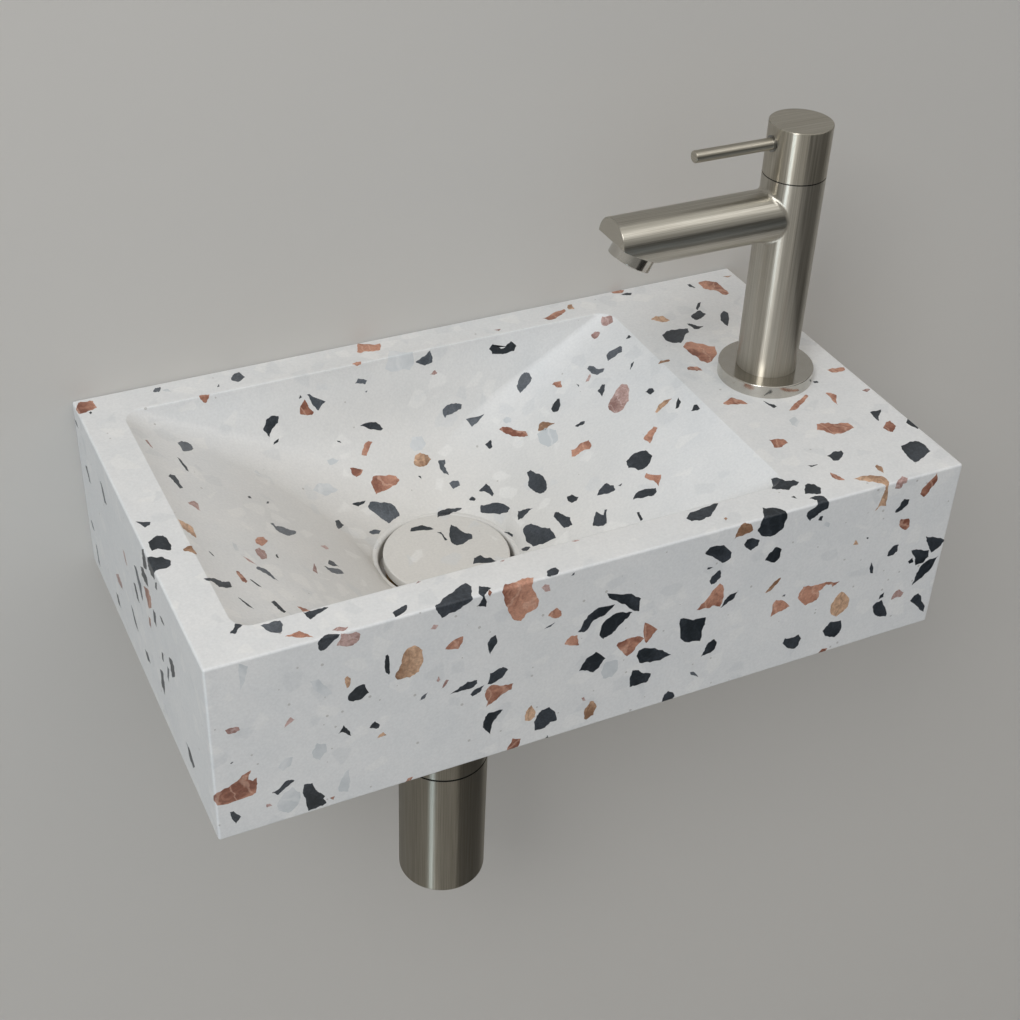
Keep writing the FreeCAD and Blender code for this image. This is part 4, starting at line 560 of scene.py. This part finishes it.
# The strewn stones: seeded points on faces that the eye can't see, each with a crushed outline of its own.
rng = np.random.default_rng(STREWN_SEED)
corners, normals, tree = surfaces["basin_body"]
sides = corners[:, 1:] - corners[:, :1]
areas = 0.5 * np.linalg.norm(np.cross(sides[:, 0], sides[:, 1]), axis=1)
chosen = rng.choice(len(areas), STREWN_TRIES, p=areas / areas.sum())
weights = rng.dirichlet((1, 1, 1), STREWN_TRIES)
spots = np.einsum("ij,ijk->ik", weights, corners[chosen])
sizes = STREWN_SMALL * (STREWN_LARGE / STREWN_SMALL) ** rng.random(STREWN_TRIES) ** STREWN_EXPONENT
kinds = rng.choice(len(STONE_KINDS), STREWN_TRIES, p=[kind[-1] for kind in STONE_KINDS])
taken, reach = np.empty((0, 3)), np.empty(0)
for spot, normal, size, kind in zip(spots, normals[chosen], sizes, kinds):
    count = rng.integers(*STREWN_CORNERS)
    angles = 2 * np.pi * (np.arange(count) + rng.uniform(-STREWN_UNEVEN, STREWN_UNEVEN, count)) / count
    radii = size * rng.uniform(STREWN_INWARD, 1.0, count)
    turn, slim = rng.uniform(0, 2 * np.pi), rng.uniform(STREWN_SLIM, 1.0)
    crowded = np.linalg.norm(taken - spot, axis=1) < STREWN_GAP * (reach + size)
    if len(taken) == STREWN_COUNT or np.any(crowded):
        continue
    side = np.cross(normal, (0, 0, 1) if abs(normal[2]) < UPRIGHT else (1, 0, 0))
    side /= np.linalg.norm(side)
    up = np.cross(normal, side)
    oval = np.stack([radii * np.cos(angles), slim * radii * np.sin(angles)], 1)
    outline = oval @ np.array([[np.cos(turn), np.sin(turn)], [-np.sin(turn), np.cos(turn)]])
    outline = crush_edges(outline, rng)
    rim = spot + outline[:, :1] * side + outline[:, 1:] * up
    lies = [tree.ray_cast(Vector(p + FACE_PROBE * normal), Vector(-normal), 2 * FACE_PROBE)[0] for p in rim]
    hidden = [first_hit(p) < np.linalg.norm(p - EYE) - SEEN_SLACK for p in (*rim, spot)]
    if None in lies or not all(hidden):
        continue
    flat = np.stack([(corners - spot) @ side, (corners - spot) @ up], -1)
    facing = (normals @ normal > FACE_TURN) & (np.abs((corners.mean(1) - spot) @ normal) < FACE_REACH)
    facing &= np.abs(np.einsum("ij,ij->i", corners[:, 0] - spot, normals)) < FACE_STEP

    def face_rays(plane):
        """Starts and directions of rays that fall square on the face through these points of its plane."""
        starts = spot + plane[:, :1] * side + plane[:, 1:] * up + FACE_START * normal
        return starts, np.broadcast_to(-normal, starts.shape)

    laid = lay_outline(outline, flat, facing, corners, normals, face_rays)
    stones[STONE_KINDS[kind][0], "basin_body"] += laid
    taken, reach = np.vstack([taken, spot]), np.append(reach, size)


def stone_mesh(name, pieces):
    """A closed mesh of stones: points that fall in one cell of a fine grid become one, each point gets the
    mean of its polygons' normals, the underside is the same points sunk by the stone's depth along them, and
    a wall stands on every side that only one polygon has."""
    points = np.concatenate([piece for piece, _ in pieces])
    owners = np.repeat(np.arange(len(pieces)), [len(piece) for piece, _ in pieces])
    cells = np.round(points / STONE_MERGE)
    _, first, joined = np.unique(cells, axis=0, return_index=True, return_inverse=True)
    joined = joined.ravel()
    top, lean = points[first], np.zeros((len(first), 3))
    np.add.at(lean, joined, np.array([normal for _, normal in pieces])[owners])
    lean /= np.linalg.norm(lean, axis=1)[:, None]
    starts = np.flatnonzero(np.diff(owners, prepend=-1))
    rings = [ring[ring != np.roll(ring, 1)] for ring in np.split(joined, starts[1:])]
    rings = [ring for ring in rings if len(np.unique(ring)) > 2]
    rings = [ring if np.sum(np.cross(top[ring], np.roll(top[ring], -1, 0)), 0) @ lean[ring].mean(0) > 0
             else ring[::-1] for ring in rings]
    sides = np.concatenate([np.stack([ring, np.roll(ring, -1)], 1) for ring in rings])
    codes = sides[:, 0] * len(top) + sides[:, 1]
    open_sides = sides[~np.isin(codes, sides[:, 1] * len(top) + sides[:, 0])]
    walls = np.concatenate([open_sides[:, ::-1], open_sides + len(top)], 1).tolist()
    under = [(ring[::-1] + len(top)).tolist() for ring in rings]
    faces = [ring.tolist() for ring in rings] + under + walls
    mesh = bpy.data.meshes.new(name)
    mesh.from_pydata(np.concatenate([top, top - STONE_DEPTH * lean]), [], faces)
    mesh.polygons.foreach_set("use_smooth", np.ones(len(mesh.polygons), bool))
    mesh.set_sharp_from_angle(angle=np.radians(STONE_CREASE))
    return mesh


# Ground natural stone: each shard has its own tone, a soft cloud across it, thin paler veins and a fine
# crystal grain, and it is a little glossier than the cement round it.
for name, _, dark, light, vein, veins_show, grain_shows, band, _ in STONE_KINDS:
    material, shader = new_material(f"ground_{name}", Roughness=STONE_ROUGHNESS)
    place = object_place(material)
    tone = noise(material, place, *TONE)
    cloud = noise(material, place, band, CLOUD_DETAIL, Distortion=CLOUD_DISTORTION)
    mixed = calc(material, "MULTIPLY_ADD", cloud, CLOUD_SHARE, tone)
    body = blend(material, spread(material, mixed, TONE_RANGE, UNIT), dark, light)
    wave = add_node(material, "ShaderNodeTexWave", {
        "Vector": place, "Scale": MM_IN_METRE / band / VEIN_BANDS, **VEIN_WAVE})
    thin = spread(material, wave.outputs["Fac"], VEIN_RANGE, (0.0, veins_show))
    crystals = noise(material, place, *CRYSTALS)
    glint = spread(material, crystals, NOISE_RANGE, (1 - grain_shows, 1 + grain_shows))
    wire(material, shader, Base_Color=scaled(material, blend(material, thin, body, vein), glint))
    for solid, body_name in bodies.items():
        if stones[name, solid]:
            title = f"{body_name}_stones_{name}"
            shards = bpy.data.objects.new(title, stone_mesh(title, stones[name, solid]))
            shards.data.materials.append(material)
            bpy.context.scene.collection.objects.link(shards)
            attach(shards, body_name)


# The wall bushes: a moulded nylon sleeve in each bolt hole of the back wall.
# It keeps the bolts off the stone.
PLASTIC_GREY = "#8b8d8c"
PLASTIC_DARK = "#7b7d7c"
PLASTIC_CLOUD, PLASTIC_ROUGHNESS = (6, 3.0), 0.45
MOULD, MOULD_BUMP, MOULD_HEIGHT = (0.8, 2.0), 0.15, 0.0003


def two_toned(name, dark, light, lumps, **constants):
    """A material that goes between two tones by one noise, with its shader, its place and that noise."""
    material, shader = new_material(name, **constants)
    place = object_place(material)
    cloud = noise(material, place, *lumps)
    wire(material, shader, Base_Color=blend(material, cloud, dark, light))
    return material, shader, place, cloud


# Moulded grey plastic: dull, with a faint leathery texture from the mould.
plastic, shader, place, _ = two_toned("moulded_grey_plastic", PLASTIC_DARK, PLASTIC_GREY, PLASTIC_CLOUD,
                                      Roughness=PLASTIC_ROUGHNESS)
wire(plastic, shader, Normal=bumped(plastic, noise(plastic, place, *MOULD), MOULD_BUMP, MOULD_HEIGHT))
finish_nodes(plastic, "wall_bolt_bushes")


# The waste: a turned brass body through the drain with its nut below, rubber seals above and below the
# block, and the push cartridge with its spring. The stone cover stands on a carrier plate and stem.
# how far the stone cover goes toward the warm painted shade of the bowl's floor, for the dim light at the
# bottom of the bowl
COVER_PAINTED_SHADE = 0.75
BRASS_LIGHT = "#c9a35c"
BRASS_DARK = "#a9823f"
LATHE_MM, LATHE_DETAIL, LATHE_ROUGHNESS = (100 / 3, 100 / 3, 0.7), 3.0, (0.24, 0.44)
RUBBER_BLACK = "#101011"
RUBBER_GREY = "#1c1c1d"
RUBBER_DUST, RUBBER_ROUGHNESS = (5, 4.0), 0.62
SPRING_LIGHT = "#9b9a97"
SPRING_DARK = "#7d7c79"
SPRING_DRAG, SPRING_ROUGHNESS = (1.5, 2.0), 0.3
POLISHED_LIGHT = "#c9c6bf"
POLISHED_DARK = "#bab6ae"
BUFFING, POLISHED_ROUGHNESS = (4, 5.0), (0.13, 0.20)


def drawn_noise(material, place, sizes_mm, detail, **more):
    """Noise from 0 to 1 with lumps of those sizes along x, y and z."""
    scale = [MM_IN_METRE / size for size in sizes_mm]
    drawn = add_node(material, "ShaderNodeMapping", {"Vector": place, "Scale": scale})
    return noise(material, drawn.outputs["Vector"], MM_IN_METRE, detail, **more)


# Raw turned brass: warm yellow with fine rings left by the lathe.
brass, shader = new_material("turned_raw_brass", Metallic=1.0)
lathe = drawn_noise(brass, object_place(brass), LATHE_MM, LATHE_DETAIL)
wire(brass, shader, Base_Color=blend(brass, lathe, BRASS_DARK, BRASS_LIGHT),
     Roughness=spread(brass, lathe, UNIT, LATHE_ROUGHNESS))

# Black rubber: nearly matt, with dusty paler clouds.
rubber, *_ = two_toned("black_rubber", RUBBER_BLACK, RUBBER_GREY, RUBBER_DUST, Roughness=RUBBER_ROUGHNESS)

# Drawn spring steel: grey and half bright, darker where the die has dragged.
spring, *_ = two_toned("drawn_spring_steel", SPRING_DARK, SPRING_LIGHT, SPRING_DRAG, Metallic=1.0,
                       Roughness=SPRING_ROUGHNESS)

# Polished stainless steel: nearly a mirror, with a faint haze of buffing.
polished, shader, _, buffed = two_toned("polished_stainless", POLISHED_DARK, POLISHED_LIGHT, BUFFING,
                                        Metallic=1.0)
wire(polished, shader, Roughness=spread(polished, buffed, NOISE_RANGE, POLISHED_ROUGHNESS))

# the cover is the same terrazzo, with its warm painted shade for the bottom of the bowl
finish_nodes(honed_terrazzo("honed_cover_terrazzo", COVER_PAINTED_SHADE), "waste_cover")
finish_nodes(brass, "waste_body", "waste_backnut", "click_cartridge", "cover_stem")
finish_nodes(polished, "cover_carrier")
finish_nodes(rubber, "waste_top_seal", "waste_lower_seal", "cover_seal")
finish_nodes(plastic, "waste_slip_washer")
finish_nodes(spring, "click_spring")


# The bottle trap: a drawn steel cup on a seal under the head, with nuts, dip tube, outlet pipe and rosette.
# All that shows is brushed lengthwise, so upright bands of light run down it.
# the trap's two tones are the tap's steel painted darker: painted shade for the basin's shadow over it, as
# the steel itself is the same
TRAP_SHADED_LIGHT = "#a19c91"
TRAP_SHADED_DARK = "#827d71"
ALONG_X, ALONG_Y, ALONG_Z = range(3)
STREAK_MM, STREAK_LENGTH_MM, STREAK_LEAN = 0.55, 60, 0.02
STREAK_DETAIL, STREAK_ROUGHNESS = 4.0, 0.6
STREAK_BUMP, STREAK_HEIGHT = 0.05, 0.0002
SIDE_ROUGHNESS, END_ROUGHNESS = (0.31, 0.40), 0.26
GLOSS_STRETCH, END_STRETCH = 1.0, 0.4
END_FACES = 0.9


# Brushed stainless steel: fine scratches all one way draw each light out into a band along them.
def brushed_steel(name, axis, dark, light, column=None):
    """Brushed steel turned about one axis: noise drawn out along the axis moves the colour, the roughness and
    the bump, and the gloss is drawn out along it too. The end faces are brushed straight along the next axis.
    column gives the x, y and radius of an upright round, outside of which the steel is turned about x
    instead. Real scratches are finer than a pixel, so these are about ten times as wide."""
    steel, shader = new_material(name, Metallic=1.0)
    place = object_place(steel)

    def drawn(along):
        """The noise value and the gloss direction for scratches along that axis."""
        on_axis = np.arange(3) == along
        sizes_mm = np.where(on_axis, STREAK_LENGTH_MM, STREAK_MM)
        brush = drawn_noise(steel, place, sizes_mm, STREAK_DETAIL, Roughness=STREAK_ROUGHNESS)
        run = add_node(steel, "ShaderNodeCombineXYZ", dict(zip("XYZ", np.where(on_axis, 1.0, STREAK_LEAN))))
        turned = add_node(steel, "ShaderNodeVectorTransform", {
            "Vector": run.outputs["Vector"]}, convert_from="OBJECT", convert_to="WORLD")
        return brush, turned.outputs["Vector"]

    def either(factor, first, second):
        """The noise and direction of the first scratches, or of the second where the factor is 1."""
        return [blend(steel, factor, *ends) for ends in zip(first, second, ("FLOAT", "VECTOR"))]

    scratches = drawn(axis)
    if column:
        *middle, radius = column
        past = calc(steel, "GREATER_THAN", off_axis(steel, place, middle), radius)
        scratches = either(past, scratches, drawn(ALONG_X))
    normal = add_node(steel, "ShaderNodeNewGeometry", {}).outputs["True Normal"]
    along = add_node(steel, "ShaderNodeVectorMath", {0: normal, 1: scratches[1]}, operation="DOT_PRODUCT")
    is_end = calc(steel, "GREATER_THAN", calc(steel, "ABSOLUTE", along.outputs["Value"]), END_FACES)
    brush, run = either(is_end, scratches, drawn((axis + 1) % 3))
    rough = spread(steel, brush, NOISE_RANGE, SIDE_ROUGHNESS)
    wire(steel, shader, Base_Color=blend(steel, spread(steel, brush, NOISE_RANGE, UNIT), dark, light),
         Roughness=blend(steel, is_end, rough, END_ROUGHNESS, "FLOAT"),
         Anisotropic=blend(steel, is_end, GLOSS_STRETCH, END_STRETCH, "FLOAT"),
         Normal=bumped(steel, brush, STREAK_BUMP, STREAK_HEIGHT), Tangent=run)
    return steel


trap_steel = brushed_steel("upright_trap_stainless", ALONG_Z, TRAP_SHADED_DARK, TRAP_SHADED_LIGHT)
outlet_steel = brushed_steel("wallward_trap_stainless", ALONG_Y, TRAP_SHADED_DARK, TRAP_SHADED_LIGHT)
finish_nodes(trap_steel, "trap_cup", "trap_head", "trap_dip_tube", "trap_inlet_nut")
finish_nodes(outlet_steel, "trap_outlet_nut", "trap_outlet_pipe", "wall_rosette")
finish_nodes(rubber, "trap_inlet_washer", "trap_cup_seal", "trap_outlet_washer")


# The tap: a brushed steel column with its spout welded on, clamped through the deck by a threaded tail,
# washer and nut. Inside sit the headwork and its ceramic discs.
CERAMIC_WHITE = "#e8e6e0"
CERAMIC_WARM = "#dcd8cf"
SINTER, CERAMIC_ROUGHNESS = (3, 3.0), 0.22
STEEL_LIGHT = "#cbc7bd"
STEEL_DARK = "#a9a499"
SLIP_BLACK, SLIP_ROUGHNESS = "#17181a", 0.5
SPOUT_CLEAR = 0.0006
COLUMN_LOW, COLUMN_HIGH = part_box("handle_cap")
COLUMN = ((COLUMN_LOW.x + COLUMN_HIGH.x) / 2, (COLUMN_LOW.y + COLUMN_HIGH.y) / 2)
COLUMN_RADIUS = (COLUMN_HIGH.y - COLUMN_LOW.y) / 2

# Sintered alumina: a warm white ceramic lapped to a dull shine.
alumina, *_ = two_toned("lapped_alumina", CERAMIC_WARM, CERAMIC_WHITE, SINTER, Roughness=CERAMIC_ROUGHNESS)
finish_nodes(alumina, "fixed_ceramic_disc", "turning_ceramic_disc")
finish_nodes(brass, "tap_tail", "tap_backnut", "headwork_body", "headwork_spindle")
tap_steel = brushed_steel("tap_brushed_stainless", ALONG_Z, STEEL_DARK, STEEL_LIGHT,
                          column=(*COLUMN, COLUMN_RADIUS + SPOUT_CLEAR))
finish_nodes(tap_steel, "tap_body")
finish_nodes(polished, "tap_base_flange", "aerator_collar", "tap_clamp_washer")
finish_nodes(rubber, "tap_base_seal", "tap_clamp_seal", "aerator_washer", "headwork_seal")
finish_nodes(plastic, "aerator_insert")

# Black acetal: a plain dark plastic, which shows as the joint line below the handle.
acetal, shader = new_material("black_acetal", Roughness=SLIP_ROUGHNESS, Base_Color=linear(SLIP_BLACK))
finish_nodes(acetal, "slip_ring")


# The handle: a turned steel cap on the spindle, with a thin lever rod screwed into it past a dark ring.
# It turns a quarter round to open the water.
HANDLE_LIGHT = "#c8c3b7"
HANDLE_DARK = "#a6a093"
finish_nodes(brushed_steel("handle_brushed_stainless", ALONG_Z, HANDLE_DARK, HANDLE_LIGHT), "handle_cap")
finish_nodes(brushed_steel("lever_brushed_stainless", ALONG_X, HANDLE_DARK, HANDLE_LIGHT), "lever_rod")
finish_nodes(spring, "lever_ring")
finish_nodes(polished, "handle_grub_screw")


# The wall and the floor: a plain pale plastered wall behind the basin and a pale floor below it.
# Each is clear from behind and at very short range, so that the back shows from every side and is lit.
WALL_GREY = "#c9c6c0"
FLOOR_GREY = "#c2c0bb"
PAINT_ROUGHNESS = 0.8
WALL_BACK = 0.0005
WALL_REACH = 3.0
FLOOR_DROP = 0.75
FLOOR = cad_box[0].z - FLOOR_DROP
CLEAR_RANGE = 0.002


def plain_sheet(name, corners, code):
    """A flat stage sheet through four corners in one soft colour, clear from behind and to short rays."""
    mesh = bpy.data.meshes.new(name)
    mesh.from_pydata(corners, [], [(0, 1, 2, 3)])
    sheet = bpy.data.objects.new(name, mesh)
    paint, shader = new_material(f"{name}_paint", Roughness=PAINT_ROUGHNESS, Base_Color=linear(code))
    back = add_node(paint, "ShaderNodeNewGeometry", {}).outputs["Backfacing"]
    path = add_node(paint, "ShaderNodeLightPath", {})
    close = calc(paint, "LESS_THAN", path.outputs["Ray Length"], CLEAR_RANGE)
    clear = add_node(paint, "ShaderNodeBsdfTransparent", {})
    either = add_node(paint, "ShaderNodeMixShader", {
        0: calc(paint, "MAXIMUM", back, close), 1: shader.outputs["BSDF"], 2: clear.outputs["BSDF"]})
    wire(paint, paint.node_tree.nodes["Material Output"], Surface=either.outputs["Shader"])
    mesh.materials.append(paint)
    bpy.context.scene.collection.objects.link(sheet)
    return sheet


plain_sheet("wall", [(-WALL_REACH, WALL_BACK, FLOOR), (WALL_REACH, WALL_BACK, FLOOR),
                     (WALL_REACH, WALL_BACK, WALL_REACH), (-WALL_REACH, WALL_BACK, WALL_REACH)], WALL_GREY)
plain_sheet("floor", [(-WALL_REACH, -WALL_REACH, FLOOR), (WALL_REACH, -WALL_REACH, FLOOR),
                      (WALL_REACH, WALL_BACK, FLOOR), (-WALL_REACH, WALL_BACK, FLOOR)], FLOOR_GREY)


# The light: one soft window from the upper front left and a room that is brighter overhead, cool in front
# and warm at the right, but neutral where it is mirrored. A narrow pale strip and a dark card are there for
# glossy faces alone.
WINDOW_PLACE, WINDOW_AIM = (-1.16, -1.19, 1.57), (0.05, -0.11, 0.1)
WINDOW_WIDTH, WINDOW_HEIGHT, WINDOW_WATTS, WINDOW_COLOUR = 0.6, 0.9, 19, (1.0, 1.0, 1.0)
STRIP_PLACE, STRIP_AIM = (-0.92, -0.93, -0.5), (-0.04, -0.11, -0.2)
STRIP_WIDTH, STRIP_HEIGHT, STRIP_WATTS, STRIP_COLOUR = 0.2, 0.8, 2.0, (0.66, 0.85, 1.0)
CARD_RIGHT, CARD_LEFT, CARD_TOP = (0.95, -0.18), (0.15, -0.91), 0.25
CARD_DARK = "#383634"
ROOM_COOL = "#bbcfe4"
ROOM_OVER = "#d8dade"
ROOM_RIGHT = "#bfae9a"
ROOM_MIRRORED = "#c7c6c2"
ROOM_LEVELS = (0.44, 1.72)
RIGHT_RANGE = (-0.1, 0.7)
BACKDROP_PALE, BACKDROP_LEVEL = "#d6d5d1", 1.0


def soft_light(name, place, aim, width, height, watts, colour):
    """A soft light of that width and height that shines from its place to the point it aims at."""
    data = bpy.data.lights.new(name, "AREA")
    data.shape, data.size, data.size_y, data.energy, data.color = "RECTANGLE", width, height, watts, colour
    lamp = bpy.data.objects.new(name, data)
    lamp.location = place
    lamp.rotation_euler = (Vector(aim) - Vector(place)).to_track_quat("-Z", "Y").to_euler()
    lamp.visible_camera = False
    bpy.context.scene.collection.objects.link(lamp)
    return lamp


soft_light("window", WINDOW_PLACE, WINDOW_AIM, WINDOW_WIDTH, WINDOW_HEIGHT, WINDOW_WATTS, WINDOW_COLOUR)
strip = soft_light("strip", STRIP_PLACE, STRIP_AIM, STRIP_WIDTH, STRIP_HEIGHT, STRIP_WATTS, STRIP_COLOUR)
strip.visible_diffuse = False
card = plain_sheet("card", [(*CARD_RIGHT, FLOOR), (*CARD_LEFT, FLOOR), (*CARD_LEFT, CARD_TOP),
                            (*CARD_RIGHT, CARD_TOP)], CARD_DARK)
card.visible_camera = card.visible_diffuse = card.visible_shadow = card.visible_transmission = False
room = bpy.data.worlds.new("room")
room.use_nodes = True
bpy.context.scene.world = room
way = add_node(room, "ShaderNodeSeparateXYZ", {
    "Vector": add_node(room, "ShaderNodeTexCoord", {}).outputs["Generated"]}).outputs
path = add_node(room, "ShaderNodeLightPath", {}).outputs
tint = blend(room, way["Z"], ROOM_COOL, ROOM_OVER)
tint = blend(room, spread(room, way["X"], RIGHT_RANGE, UNIT), tint, ROOM_RIGHT)
tint = blend(room, path["Is Glossy Ray"], tint, ROOM_MIRRORED)
looks = calc(room, "MAXIMUM", path["Is Camera Ray"], path["Is Transmission Ray"])
level = spread(room, way["Z"], UNIT, ROOM_LEVELS)
wire(room, room.node_tree.nodes["Background"], Color=blend(room, looks, tint, BACKDROP_PALE),
     Strength=blend(room, looks, level, BACKDROP_LEVEL, "FLOAT"))
